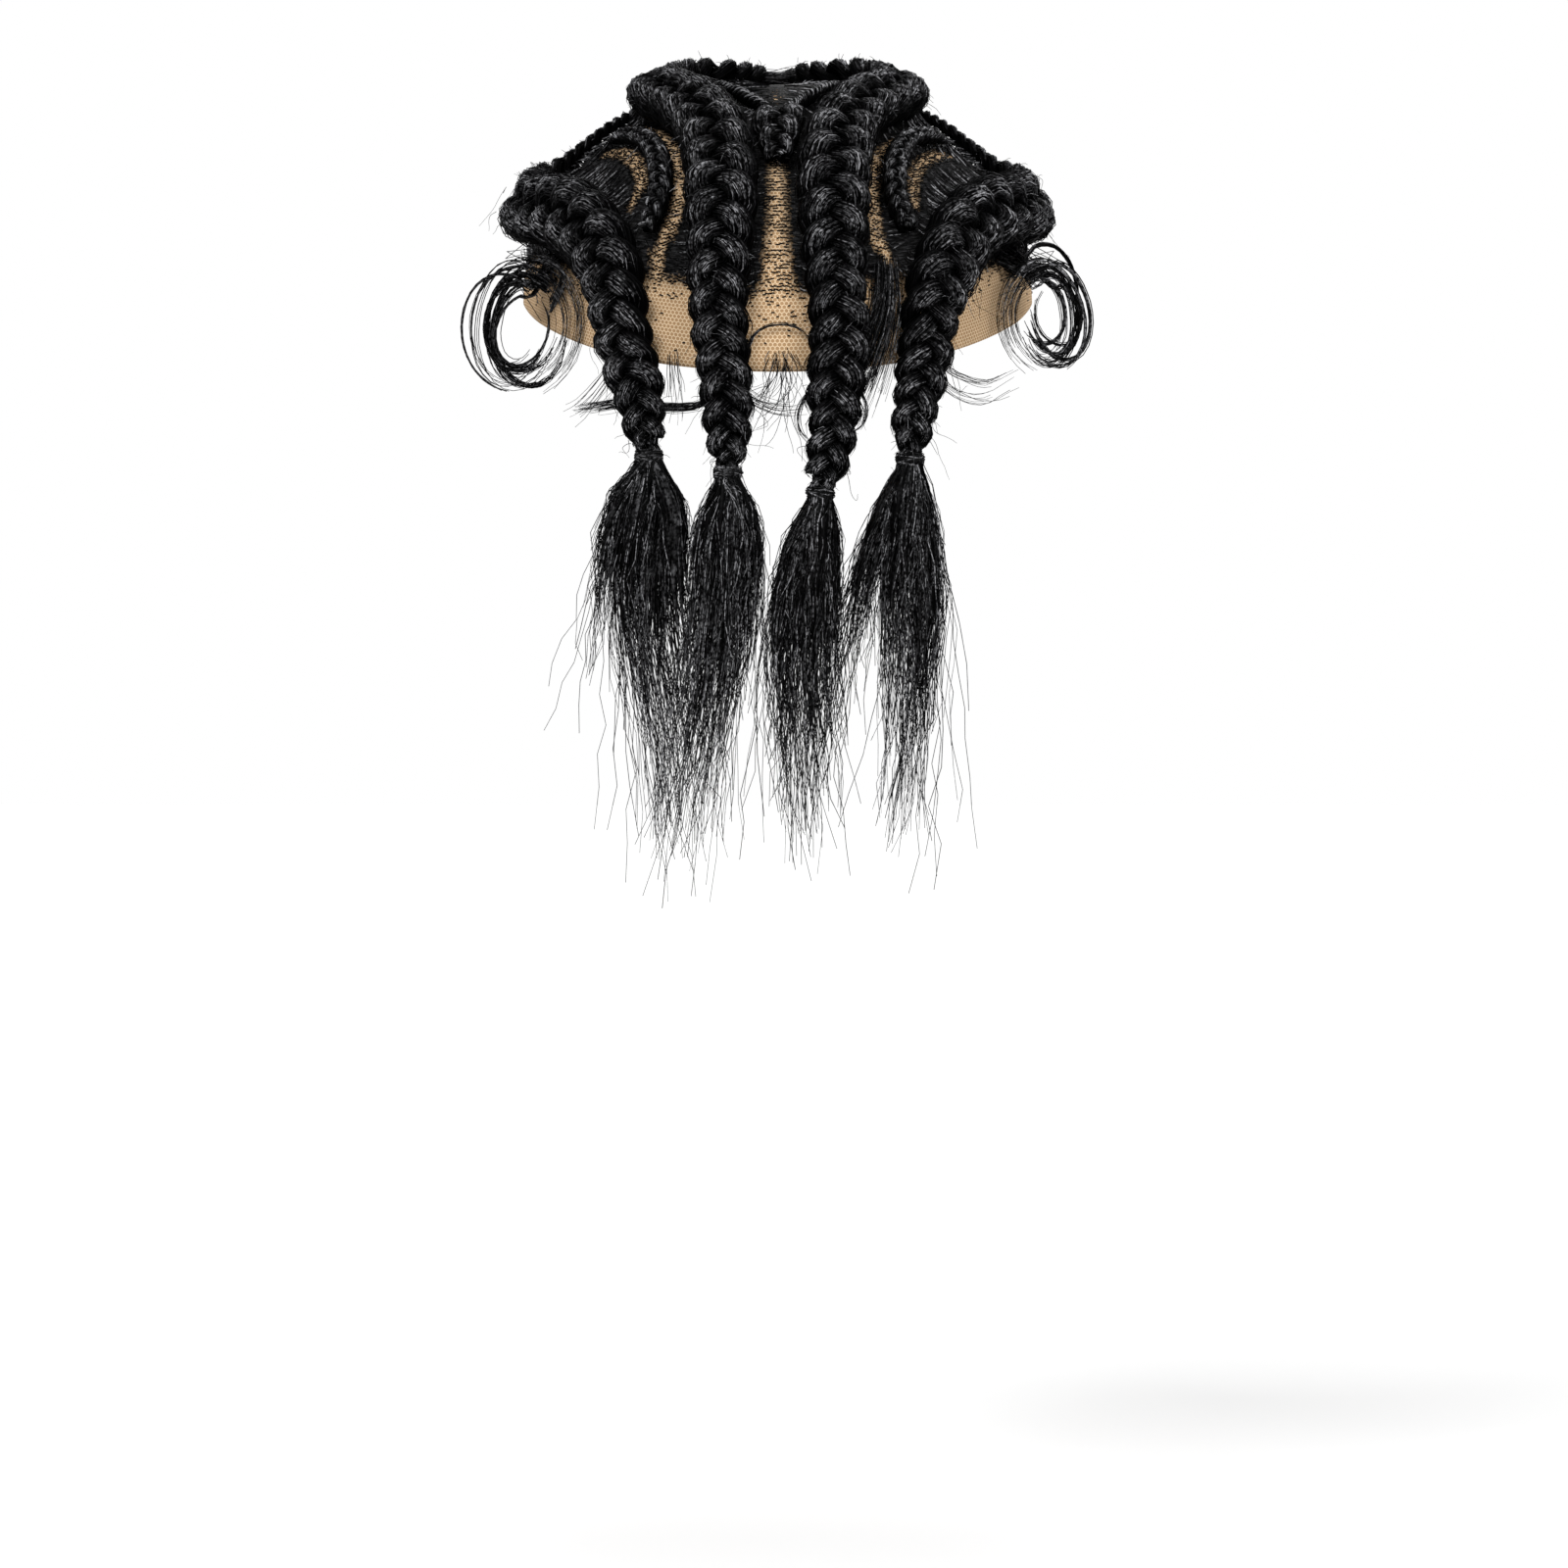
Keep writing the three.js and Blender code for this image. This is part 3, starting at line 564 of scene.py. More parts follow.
def fibre_tree():
    """Geometry Nodes: crimps each guide line a little and sweeps it into a thin three-sided fibre."""
    sizes = dict.fromkeys(("Fibre Radius", "Crimp Height", "Crimp Length", "Seed"), "Float")
    nodes, given, out = new_group(
        "hair_fibres", "GeometryNodeTree", {"Guides": "Geometry", **sizes, "Hair": "Material"},
        {"Fibres": "Geometry"})

    def named(name):
        return nodes.add(
            "GeometryNodeInputNamedAttribute", {"Name": name}, data_type="FLOAT").outputs["Attribute"]

    lines = nodes.add("GeometryNodeMeshToCurve", {"Mesh": given["Guides"]})
    crimp = nodes.add(
        "ShaderNodeTexNoise",
        {"Vector": nodes.add("GeometryNodeInputPosition").outputs["Position"],
         "W": nodes.number("MULTIPLY_ADD", named("hair_number"), FIBRE_NUMBER_SPREAD, given["Seed"]),
         "Scale": nodes.number("DIVIDE", 1.0, given["Crimp Length"]), "Detail": 1.0},
        noise_dimensions="4D")
    centred = nodes.vector("SUBTRACT", crimp.outputs["Color"], (0.5, 0.5, 0.5))[0]
    height = nodes.number("MULTIPLY", nodes.number("MULTIPLY", given["Crimp Height"], 2.0), named("crimp"))
    shift = nodes.add("ShaderNodeVectorMath", {0: centred, "Scale": height}, operation="SCALE")
    crimped = nodes.add(
        "GeometryNodeSetPosition", {"Geometry": lines.outputs["Curve"], "Offset": shift.outputs[0]})
    section = nodes.add(
        "GeometryNodeCurvePrimitiveCircle", {"Resolution": FIBRE_SIDES, "Radius": given["Fibre Radius"]})
    swept = nodes.add(
        "GeometryNodeCurveToMesh",
        {"Curve": crimped.outputs["Geometry"], "Profile Curve": section.outputs["Curve"],
         "Scale": named("thickness"), "Fill Caps": True})
    smooth = nodes.add("GeometryNodeSetShadeSmooth", {"Geometry": swept.outputs["Mesh"]})
    whole = nodes.add("GeometryNodeRealizeInstances", {"Geometry": smooth.outputs["Geometry"]})
    painted = nodes.add(
        "GeometryNodeSetMaterial", {"Geometry": whole.outputs["Geometry"], "Material": given["Hair"]})
    nodes.give(out, {"Fibres": painted.outputs["Geometry"]})
    return nodes.tree


FIBRE_TREE = fibre_tree()


def fibre_piece(name, bundles, seed, *nodes, radius, crimp_height, crimp_length):
    """A piece of hair from bundles of guide lines, each bundle with its points (fibres, places, 3) and, for
    them, shares of the thickness, amounts of painted sheen and shares of the crimp."""
    points, edges, first = [], [], 0
    values = {"thickness": [], "tone": [], "crimp": [], "hair_number": []}
    for lines, *shares in bundles:
        count, places = lines.shape[:2]
        shares[1] = shares[1].reshape(count, -1)
        shares.append((first + np.arange(count))[:, None] * FIBRE_NUMBER_STEP % 1)
        index = first + np.arange(count * places).reshape(count, places)
        edges.append(np.stack([index[:, :-1].ravel(), index[:, 1:].ravel()], axis=1))
        points.append(lines.reshape(-1, 3))
        for parts, value in zip(values.values(), shares):
            parts.append(np.broadcast_to(value, (count, places)).ravel())
        first += count * places
    guides = bpy.data.meshes.new(name + "_guides")
    guides.vertices.add(first)
    guides.vertices.foreach_set("co", (np.vstack(points) * MM).astype(np.float32).ravel())
    guides.edges.add(sum(map(len, edges)))
    guides.edges.foreach_set("vertices", np.vstack(edges).astype(np.int32).ravel())
    for key, parts in values.items():
        set_values(guides, key, np.concatenate(parts))
    carrier = bpy.data.objects.new(name + "_guides", guides)
    bpy.context.scene.collection.objects.link(carrier)
    modifier = carrier.modifiers.new("hair_fibres", "NODES")
    modifier.node_group = FIBRE_TREE
    given = {
        "Fibre Radius": radius * MM, "Crimp Height": crimp_height * MM, "Crimp Length": crimp_length * MM,
        "Seed": float(seed), "Hair": HAIR_FIBRE}
    for item in FIBRE_TREE.interface.items_tree:
        if item.item_type == "SOCKET" and item.in_out == "INPUT" and item.name in given:
            modifier[item.identifier] = given[item.name]
    mesh = bpy.data.meshes.new_from_object(carrier.evaluated_get(bpy.context.evaluated_depsgraph_get()))
    mesh.name = name
    bpy.data.objects.remove(carrier)
    bpy.data.meshes.remove(guides)
    new_piece(mesh, HAIR_FIBRE, "hair", *nodes)


def plait_body_mesh(name, route):
    """The dense bodies of the three strands as closed tubes."""
    sides = BODY_MESH.sides
    phase = np.arange(route.phase[0], route.phase[-1], BODY_MESH.step)
    around = 2 * np.pi * np.arange(sides) / sides
    crest = np.clip(np.sin(around), 0, 1) ** BODY_MESH.crest_power * BODY_MESH.crest_gain
    v = route_at(route, phase).arc / BODY_MESH.uv_length
    points, faces, corners, lobes = [], [], [], []
    for strand in range(STRANDS):
        rings = strand_points(route, phase[:, None], strand, around[None], BODY_MESH.share)
        quads, ends = tube_faces(len(phase), sides, sum(map(len, points)))
        faces += quads + ends
        points.append(np.vstack([rings.reshape(-1, 3), rings[[0, -1]].mean(axis=1)]))
        # Painted light on the bodies: a painted highlight on the outward crest where a strand lies on top,
        # and painted shade where it dives under the others
        turn = phase + 2 * np.pi * strand / STRANDS
        on_top = smoothstep(0.0, 1.0, np.sin(turn if route.twisted else 2 * turn - BODY_MESH.lead))
        lobes.append(np.append(np.outer(on_top, crest).ravel(), [0, 0]))
        u = np.arange(sides + 1) / sides + strand
        pattern = np.stack(np.broadcast_arrays(u, v[:, None]), axis=-1)
        end_corners = np.repeat(pattern[[0, -1], :-1].swapaxes(0, 1), 3, axis=1)
        corners += [quad_corners(pattern), end_corners.reshape(-1, 2)]
    mesh = new_mesh(name, np.vstack(points), faces)
    set_uv(mesh, "strand", np.vstack(corners))
    set_values(mesh, "lobe", np.concatenate(lobes))
    return mesh


def painted_sheen_of_hairs(rng, count):
    """How much painted sheen each hair shows: most are black, a few catch the light."""
    return SHEEN_MOST * rng.uniform(0, 1, count) ** SHEEN_POWER


def broken_painted_sheen(rng, count, places):
    """Painted sheen that also comes and goes along each hair."""
    return painted_sheen_of_hairs(rng, count)[:, None] * rng.uniform(*SHEEN_ALONG, (count, places))


def plait_fibres(route, rng, per_width):
    """Fibres over each lobe: they rise from under the crossing strand, lie over it and dive at the edge."""
    bundles = []
    lobes, hair = LOBES["twisted" if route.twisted else "plaited"], LOBE_FIBRES
    period, loose = lobes.period, lobes.loose
    share = np.linspace(0, 1, hair.places)
    taper = np.clip(np.minimum(share, 1 - share) / hair.tip, hair.tip_width, 1)
    glow = np.interp(share, *lobes.glow)
    first, last = route.phase[0], route.phase[-1]
    for strand in range(STRANDS):
        offset = 2 * np.pi * strand / STRANDS
        for lobe in range(math.floor(offset / period), math.ceil((last + offset) / period)):
            begin = lobe * period - lobes.before - offset
            end = lobe * period + lobes.after - offset
            if end < first + hair.shortest or begin > last - hair.shortest:
                continue
            width = route_at(route, np.array([(begin + end) / 2])).width[0]
            count = int(round(hair.fewest + per_width * width))
            starts = begin + rng.uniform(*hair.start, count)
            stops = end - rng.uniform(*hair.stop, count)
            phase = np.clip(starts[:, None] + (stops - starts)[:, None] * share, first, last)
            order = (rng.permutation(count) + rng.uniform(*hair.jostle, count)) / count
            around = np.pi * (order * hair.spread - (hair.spread - 1) / 2)
            around = around[:, None] + rng.normal(0, hair.fan, (count, 1)) * (share - 0.5)
            lift = hair.seat + rng.normal(0, hair.seat_spread, (count, 1)) * loose
            stray = rng.uniform(0, 1, (count, 1)) < hair.strays * loose
            rise = stray * rng.uniform(*hair.stray_rise, (count, 1))
            lift = lift + rise * np.maximum(0, share - hair.stray_from) ** 2 * hair.stray_curve
            lines = strand_points(route, phase, strand, around, lift)
            # Painted light on the fibres: a painted highlight over the crest and middle of each lobe, and
            # painted shade towards its sides and ends
            crest = np.clip(np.sin(around), 0, 1) ** hair.crest_power * glow * hair.crest_gain
            least, more = hair.tone
            tone = (least + more * rng.uniform(0, 1, (count, 1)) ** 2) * crest * lobes.light
            tone = tone * rng.uniform(*hair.tone_along, (count, hair.places))
            bundles.append((lines, taper * rng.uniform(*hair.thickness, (count, 1)), tone, loose))
    return bundles


def plait_fuzz(route, rng, count):
    """Short hairs that stand off the plait."""
    phase = rng.uniform(route.phase[0], route.phase[-1], count)
    strand = rng.integers(0, STRANDS, count)
    around = rng.uniform(-FUZZ.past_side, np.pi + FUZZ.past_side, count)
    root = strand_points(route, phase, strand, around, FUZZ.seat)
    at = route_at(route, phase)
    direction = unit(
        at.tangent * rng.uniform(*FUZZ.along, (count, 1)) + at.side * np.cos(around)[:, None]
        + at.out * np.sin(around)[:, None] + rng.normal(0, FUZZ.tousle, (count, 3)))
    reach = FUZZ.length * rng.uniform(FUZZ.shortest, 1.0, (count, 1, 1))
    reach = reach * np.minimum(1, at.width / FUZZ.full_width)[:, None, None]
    share = np.linspace(0, 1, len(FUZZ.thickness))[None, :, None]
    lines = root[:, None] + direction[:, None] * reach * share + [0, 0, -FUZZ.droop] * reach * share ** 2
    return [(lines, np.array(FUZZ.thickness), painted_sheen_of_hairs(rng, count), FUZZ.crimp)]


ROUTES = {}


def make_plait(node, seed, on_cap, route, per_width, fuzz):
    rng = np.random.default_rng(seed)
    ROUTES[node] = (on_cap, route)
    new_piece(plait_body_mesh(node + "_strands", route), HAIR_BODY, "hair", node)
    bundles = plait_fibres(route, rng, per_width) + plait_fuzz(route, rng, fuzz)
    fibre_piece(node + "_fibres", bundles, seed, **PLAIT_HAIR)


for seed, (place, (end_of_cap, hanging)) in enumerate(FALLS.items(), 11):
    row, word = place.split("_")
    on_cap = mirrored({"inner": INNER_ROW, "outer": OUTER_ROW}[row], SIDES[word]) + end_of_cap
    make_plait("cornrow_" + place, seed, on_cap, plait_route(on_cap, hanging), per_width=1.45, fuzz=440)


# Thin cornrows: the same hair plaited or twisted in narrow rows between the thick ones. Two curve inside the
# outer hooks, two run together in a V at the crown, and a short plait below the point of the V ends between
# the inner rows.

CRESCENT_ROW = [
    (39, -21, 4), (33, -28.5, 5), (28, -34.5, 6.2), (25, -41.5, 7.2), (24.2, -49, 7.5), (26, -55.5, 7.2),
    (29.5, -59.5, 6.2)]
VEE_ROW = [(13.5, -14, 3.6), (10.6, -19.5, 4.2), (7.5, -25, 4.6), (4.6, -30, 4.8), (2, -34, 4.6)]
CENTRE_ROW = [(0, -36, 11), (0, -38.2, 16), (0, -41.3, 15.8), (0, -45.5, 12.6), (0, -49.8, 7.6)]

# Rows: how close the plaiting is, twisted or not, fibres of a lobe for each millimetre of width, and fuzz
THIN_ROWS = {"centre_plait": (CENTRE_ROW, 1.15, False, 1.6, 50)}
for word, side in SIDES.items():
    THIN_ROWS["crescent_" + word] = (mirrored(CRESCENT_ROW, side), 1.0, False, 1.5, 50)
    THIN_ROWS["vee_" + word] = (mirrored(VEE_ROW, side), 1.5, True, 0.0, 6)
for seed, (node, (on_cap, closeness, twisted, *hair)) in enumerate(THIN_ROWS.items(), 31):
    make_plait(node, seed, on_cap, plait_route(on_cap, (), closeness, twisted), *hair)


# Combed roots: the hair that grows from the cap between the rows. Each strand leaves its knot in the net,
# lies combed flat towards a cornrow on its own side of the parting, and slips under the edge of that row.

ROOT_SPACING = 2.0
DEGREE_MM = 1.5
CAP_END, HEM_MARGIN = 92, 1.5
COMB = Sizes(
    row_places=160, way_places=9, barer=0.3, barred=1000, longest=55, slide=5.0,
    slide_from=14, edge=0.72, bend=1.5, root_lift=1.15, lift_spread=0.6, edge_lift=0.34,
    edge_power=2.2, shaded_from=16, least_bare=0.2, bare_above=0.95, bare_below=0.6,
    lock_dark=0.4, lock_light=2.0, way_start=0.1, way_cut=0.9, outside=0.9, end_cut=0.8,
    least_slide=0.1, rise=(0.5, 1.0), uneven=(0.6, 1.15))
# Locks of combed hair: how fast their painted sheen comes and goes across and along the head, and how it
# wavers
COMB_LOCKS = Sizes(across=1.9, along=2.3, waver=1.3, waver_across=0.9, waver_along=1.1)
# Along each combed strand: thickness, painted sheen, strongest along the middle, and crimp
COMBED_WAY = Sizes(thickness=(0.6, 1, 1, 0.7), tone=(0.1, 1.2, 1.3, 0.3), crimp=(0, 0.8, 1, 0.5))
COMBED_HAIR = dict(radius=0.22, crimp_height=0.6, crimp_length=4.0)


def scatter_on_cap(rng, spacing, jitter=0.5):
    """Places over the cap, one for each small square of the net, as degrees across and along."""
    step = spacing / DEGREE_MM
    grid = np.arange(-CAP_END, CAP_END, step)
    across, along = (
        place.ravel() + rng.uniform(-jitter, jitter, place.size) * step for place in np.meshgrid(grid, grid))
    polar = np.hypot(across, along)
    slope = np.radians(np.clip(polar, 1, 90))
    kept = polar < by_azimuth(HEM_BY_AZIMUTH, across, along) - HEM_MARGIN
    kept &= rng.uniform(0, 1, polar.shape) < np.sin(slope) / slope
    return across[kept], along[kept]


def comb_towards(across, along, on_cap):
    """For each root the nearest place on one row, how far it is, and how much barer the way there is."""
    line = smooth_rows(on_cap, COMB.row_places)
    samples = np.column_stack([line, np.gradient(line[:, :2], axis=0)])
    chosen, distance = nearest_of(head_surface(across, along), head_surface(line[:, 0], line[:, 1]))
    near = samples[chosen]
    edge = 1 - np.minimum(near[:, 2] / 2 / distance, COMB.way_cut)
    way = np.linspace(COMB.way_start, 1, COMB.way_places) * edge[:, None]
    bare = bare_at(*(
        start[:, None] + (near[:, n] - start)[:, None] * way for n, start in enumerate((across, along))))
    return near, distance, bare.max(axis=1) - bare_at(across, along)


def combed_strands(rng):
    """Lines, thickness shares and painted sheen of the strands, each combed to the row that is best to reach.
    """
    across, along = scatter_on_cap(rng, ROOT_SPACING)
    most_bare = np.where(past_hairline(across, along) > 0, COMB.bare_below, COMB.bare_above)
    grown = bare_at(across, along) < rng.uniform(COMB.least_bare, most_bare, len(across))
    across, along = across[grown], along[grown]
    ways = [comb_towards(across, along, on_cap) for on_cap, _ in ROUTES.values()]
    cost = np.array([
        distance - near[:, 2] / 2 + COMB.barred * (barer > COMB.barer)
        for near, distance, barer in ways])
    best = (cost.argmin(axis=0), np.arange(len(across)))
    near, distance = (np.array([way[n] for way in ways])[best] for n in (0, 1))
    half = near[:, 2] / 2
    free = (cost[best] < COMB.longest) & (distance > half * COMB.outside)
    across, along, distance, near, half = (a[free] for a in (across, along, distance, near, half))
    count = len(across)
    end = 1 - np.minimum(COMB.edge * half / distance, COMB.end_cut)
    heading = unit(near[:, 3:5])
    slide = rng.uniform(COMB.least_slide, 1, count) * COMB.slide / DEGREE_MM
    slide = slide * np.minimum(1, distance / COMB.slide_from)
    over = (near[:, 0] - across) * end + heading[:, 0] * slide
    ahead = (near[:, 1] - along) * end + heading[:, 1] * slide
    share = np.linspace(0, 1, len(COMBED_WAY.tone))
    path_across = across[:, None] + over[:, None] * (0.5 * share + 0.5 * share ** COMB.bend)
    path_along = along[:, None] + ahead[:, None] * share
    rise = COMB.edge_lift * plait_height(near[:, 2])
    lift = (COMB.root_lift + rng.uniform(0, COMB.lift_spread, (count, 1)) * (share > 0)
            + rise[:, None] * share ** COMB.edge_power * rng.uniform(*COMB.rise, (count, 1)))
    thickness = np.array(COMBED_WAY.thickness) * rng.uniform(*COMB.uneven, (count, 1))
    tone = broken_painted_sheen(rng, count, len(share)) * np.array(COMBED_WAY.tone)
    # Painted sheen in broad bands of locks across the head, and painted shade on strands that lie far from
    # their row
    u, v, wave = near[:, 0], near[:, 1], COMB_LOCKS
    waver = wave.waver * np.sin(wave.waver_across * u - wave.waver_along * v)
    lock = 0.5 + 0.5 * np.sin(wave.across * u + wave.along * v + waver)
    shade = COMB.lock_dark + COMB.lock_light * lock ** 2
    shade = shade * np.minimum(1, COMB.shaded_from / distance)
    return head_point(path_across, path_along, lift), thickness, tone * shade[:, None]


lines, shares, painted_sheens = combed_strands(np.random.default_rng(51))
on_left = lines[:, 0, 0] < 0
for seed, (word, chosen) in enumerate((("left", on_left), ("right", ~on_left)), 51):
    bundle = (lines[chosen], shares[chosen], painted_sheens[chosen], np.array(COMBED_WAY.crimp))
    fibre_piece("combed_roots_" + word, [bundle], seed, **COMBED_HAIR)


# Knots: along the partings and above the hem each hair shows as a short dark stub where it is tied into a
# cell of the net. They lie in level rows and get sparser towards the middle of a parting and the hem.

KNOT = Sizes(
    spacing=1.04, jitter=0.22, least_bare=0.2, below_chance=0.42, below_fade=2.8, slant=0.2,
    length=(0.8, 1.7), lift=(1.1, 1.25), thickness=(1, 0.7), tone=0.03, chance=1.1,
    bare_loss=0.25)
KNOT_HAIR = dict(radius=0.31, crimp_height=0.1, crimp_length=3.0)


def knot_stubs(rng):
    across, along = scatter_on_cap(rng, KNOT.spacing, KNOT.jitter)
    bare, below = bare_at(across, along), past_hairline(across, along) - 1
    fading = KNOT.below_chance * np.exp(-np.maximum(below, 0) / KNOT.below_fade)
    chance = np.where(below > 0, fading, KNOT.chance - KNOT.bare_loss * bare)
    kept = (bare > KNOT.least_bare) & (rng.uniform(0, 1, len(across)) < chance)
    across, along = across[kept], along[kept]
    count = len(across)
    level = unit(np.stack([-along, across], axis=1) * np.where(along < 0, 1, -1)[:, None])
    slant = rng.normal(0, KNOT.slant, count)
    sine, cosine = np.sin(slant), np.cos(slant)
    heading = (level[:, 0] * cosine - level[:, 1] * sine, level[:, 0] * sine + level[:, 1] * cosine)
    reach = rng.uniform(*KNOT.length, count) / DEGREE_MM
    paths = [
        start[:, None] + (way * reach)[:, None] * [-0.5, 0.5] for start, way in zip((across, along), heading)]
    return head_point(*paths, np.broadcast_to(KNOT.lift, (count, 2))), rng.uniform(0, KNOT.tone, count)


lines, painted_sheens = knot_stubs(np.random.default_rng(61))
fibre_piece("lace_knots", [(lines, np.array(KNOT.thickness), painted_sheens, 0.0)], 61, **KNOT_HAIR)


# Ties: each plait's end is bound off with a fine black elastic thread, wound several times around the neck
# and tucked under itself.

TIE = Sizes(height=3.2, thread=0.3, turns=6.5, clearance=0.3, places=130, sides=5)
TIE_BLACK = (0.002, 0.002, 0.0022, 1)
TIE_WORN = (0.008, 0.008, 0.0084, 1)
TIE_UNEVEN = Sizes(
    loose=0.05, loose_rate=0.37, ends=0.12, drift=0.3, drift_rate=0.9, fade=6, tip=0.35)


def tie_material():
    material, nodes, shader = new_material("black_elastic")
    twist = nodes.noise(nodes.place(), scale=2200.0, detail=2.0)
    nodes.give(shader, {
        "Base Color": nodes.mix(twist, TIE_BLACK, TIE_WORN),
        "Roughness": nodes.remap(twist, low=0.4, high=0.7),
        "Normal": nodes.bump(twist, strength=0.6, depth=0.0002), "Specular IOR Level": 0.06})
    return material


def tube_mesh(name, line, radii, sides):
    """A closed tube around a line, with its faces turned outward."""
    tangent = unit(np.gradient(line, axis=0))
    across = unit(np.cross(tangent, [0.0, 0.0, 1.0]))
    over = np.cross(across, tangent)
    turn = 2 * np.pi * np.arange(sides)[None, :, None] / sides
    rings = line[:, None] + radii[:, None, None] * (
        across[:, None] * np.cos(turn) + over[:, None] * np.sin(turn))
    quads, _ = tube_faces(len(line), sides)
    first, last = list(range(sides)), rings.size // 3 - sides
    faces = [quad[:1] + quad[:0:-1] for quad in quads] + [first[::-1], [last + n for n in first]]
    return new_mesh(name, rings.reshape(-1, 3), faces)


def around_neck(neck, turn, out, height, bulge=1):
    """Points around the oval neck of a plait, a little way out from it."""
    x, y, z, width = neck
    return np.stack([
        x + (width / 2 + out) * bulge * np.cos(turn),
        y + (plait_height(width) / 2 + out) * bulge * np.sin(turn), z + height], axis=-1)


ELASTIC = tie_material()
for place, (_, hanging) in FALLS.items():
    neck, count = hanging[-1], np.arange(TIE.places)
    turn = np.linspace(0, 2 * np.pi * TIE.turns, TIE.places)
    wind = np.linspace(-1, 1, TIE.places)
    bulge = 1 + TIE_UNEVEN.loose * np.sin(turn * TIE_UNEVEN.loose_rate) - TIE_UNEVEN.ends * wind ** 2
    drift = TIE_UNEVEN.drift * np.sin(turn * TIE_UNEVEN.drift_rate + neck[0])
    line = around_neck(neck, turn, TIE.clearance, wind * (TIE.height / 2 - TIE.thread) + drift, bulge)
    fade = np.clip(np.minimum(count, count[::-1]) / TIE_UNEVEN.fade, TIE_UNEVEN.tip, 1)
    mesh = tube_mesh("tie_thread_" + place, line, TIE.thread * fade, TIE.sides)
    new_piece(mesh, ELASTIC, "tie_band", "tie_" + place)


# Tails: the loose ends below the ties. The hair springs out from the neck, hangs in crimped locks that part
# from one another, and thins out to single hairs of different lengths at the tips.

# Locks: sideways place at the swell, middle, lower part and tip, depth, height of the tip, and breadth
TAILS = {
    "outer_left": [
        (-46.5, -51, -53.5, -55, 1, -192, 9), (-42.5, -45.5, -40, -34, -2, -243, 11),
        (-36.5, -38.5, -33.5, -28, 2, -248, 12), (-32, -31.5, -28.5, -24, -1, -226, 9)],
    "inner_left": [
        (-20.5, -22.5, -28, -36, -1, -243, 10), (-16, -17, -22.5, -29, -2.5, -252, 11),
        (-11.5, -11.5, -16.5, -22, 0, -240, 11), (-9.5, -8, -9.5, -12, -2, -206, 8)],
    "inner_right": [
        (6.5, 1.5, 1.5, 5.5, -1, -238, 9), (10.5, 8, 7.5, 9, -2.5, -247, 11), (14.5, 14, 13, 11, 0, -234, 9)],
    "outer_right": [
        (34, 27, 21, 17, 1, -212, 9), (38.5, 36.5, 36.5, 33, -2, -238, 11),
        (43.5, 45.5, 42, 37, 1, -244, 11)],
}
LOCK = Sizes(
    thickness=8.5, down=np.array([0.14, 0.36, 0.66, 1.0]), spread=np.array([1.0, 1.0, 0.85, 0.6]),
    wander=np.array([0.2, 0.9, 1.9, 3.4]), stray_wander=2.4, neck_fill=0.46, in_neck=1.0,
    below_neck=1.2, steps=120)
TAIL_LOWEST = -266
TAIL_HAIR = dict(radius=0.19, crimp_height=5.0, crimp_length=11.0)
# Hairs of a tail: number, places along each, how far down they reach, how far they fill the lock, share of
# strays, and how far they hang below the lock's tip in millimetres
TAIL_HAIRS = {
    "dense": (120, 8, (0.3, 0.72), 0.8, 0.0, 0), "short": (620, 11, (0.42, 0.82), 1.0, 0.06, 0),
    "long": (170, 18, (0.75, 1.0), 1.0, 0.3, 0), "single": (14, 20, (0.85, 1.0), 1.2, 1.0, 15)}
DENSE = Sizes(swell=([0, 0.12, 0.3, 0.65, 1], [3, 5, 9, 7.5, 1]), tone=0.15, crimp=0.3)
LOOSE = Sizes(thin=0.4, thickness=(0.7, 1.15), tone=0.8, crimp=([0.0625, 0.8125], [0, 1.2]))
NECK_WRAPS = Sizes(
    number=46, places=8, turn=(1.2, 3.6), reach=0.7, out=(0.6, 1.5), hollow=0.12,
    thickness=([0, 0.2, 0.8, 1], [0.5, 1, 1, 0.5]), crimp=0.1)


def tail_lines(rng, neck, lock, count, places, reach, fullness, strays, below_tip):
    """Guide lines of one lock: out of the neck, through the lock's places, to each hair's own end."""
    x, y, z, width = neck
    *sideways, depth, tip, breadth = lock
    ring, turn = np.sqrt(rng.uniform(0, 1, count)) * fullness, rng.uniform(0, 2 * np.pi, count)
    across, deep = ring * np.cos(turn), ring * np.sin(turn)
    below = z - TIE.height / 2
    stations = np.zeros((count, 6, 3))
    stations[:, 0, 0] = x + across * width * LOCK.neck_fill
    stations[:, 0, 1] = y + deep * plait_height(width) * LOCK.neck_fill
    stations[:, 0, 2] = z + LOCK.in_neck
    stations[:, 1] = stations[:, 0] - [0, 0, LOCK.below_neck + TIE.height / 2]
    wander = rng.normal(0, 1, (2, count, 1)) * fullness
    astray = rng.uniform(0, 1, (1, count, 1)) < strays
    wander = wander * np.where(astray, LOCK.stray_wander, 1) * LOCK.wander
    stations[:, 2:, 0] = sideways + across[:, None] * breadth / 2 * LOCK.spread + wander[0]
    stations[:, 2:, 1] = y + depth + deep[:, None] * LOCK.thickness / 2 * LOCK.spread + wander[1] / 2
    stations[:, 2:, 2] = below + (tip - below_tip - below) * LOCK.down
    steps = LOCK.steps
    dense = smooth_rows(stations.transpose(1, 0, 2).reshape(6, -1), steps + 1).reshape(steps + 1, count, 3)
    spot = np.linspace(0, 1, places)[None] * rng.uniform(*reach, count)[:, None] * steps
    low = np.minimum(spot.astype(int), steps - 1)
    part = (spot - low)[..., None]
    each = np.arange(count)[:, None]
    lines = dense[low, each] * (1 - part) + dense[low + 1, each] * part
    lines[..., 2] = np.maximum(lines[..., 2], TAIL_LOWEST)
    return lines


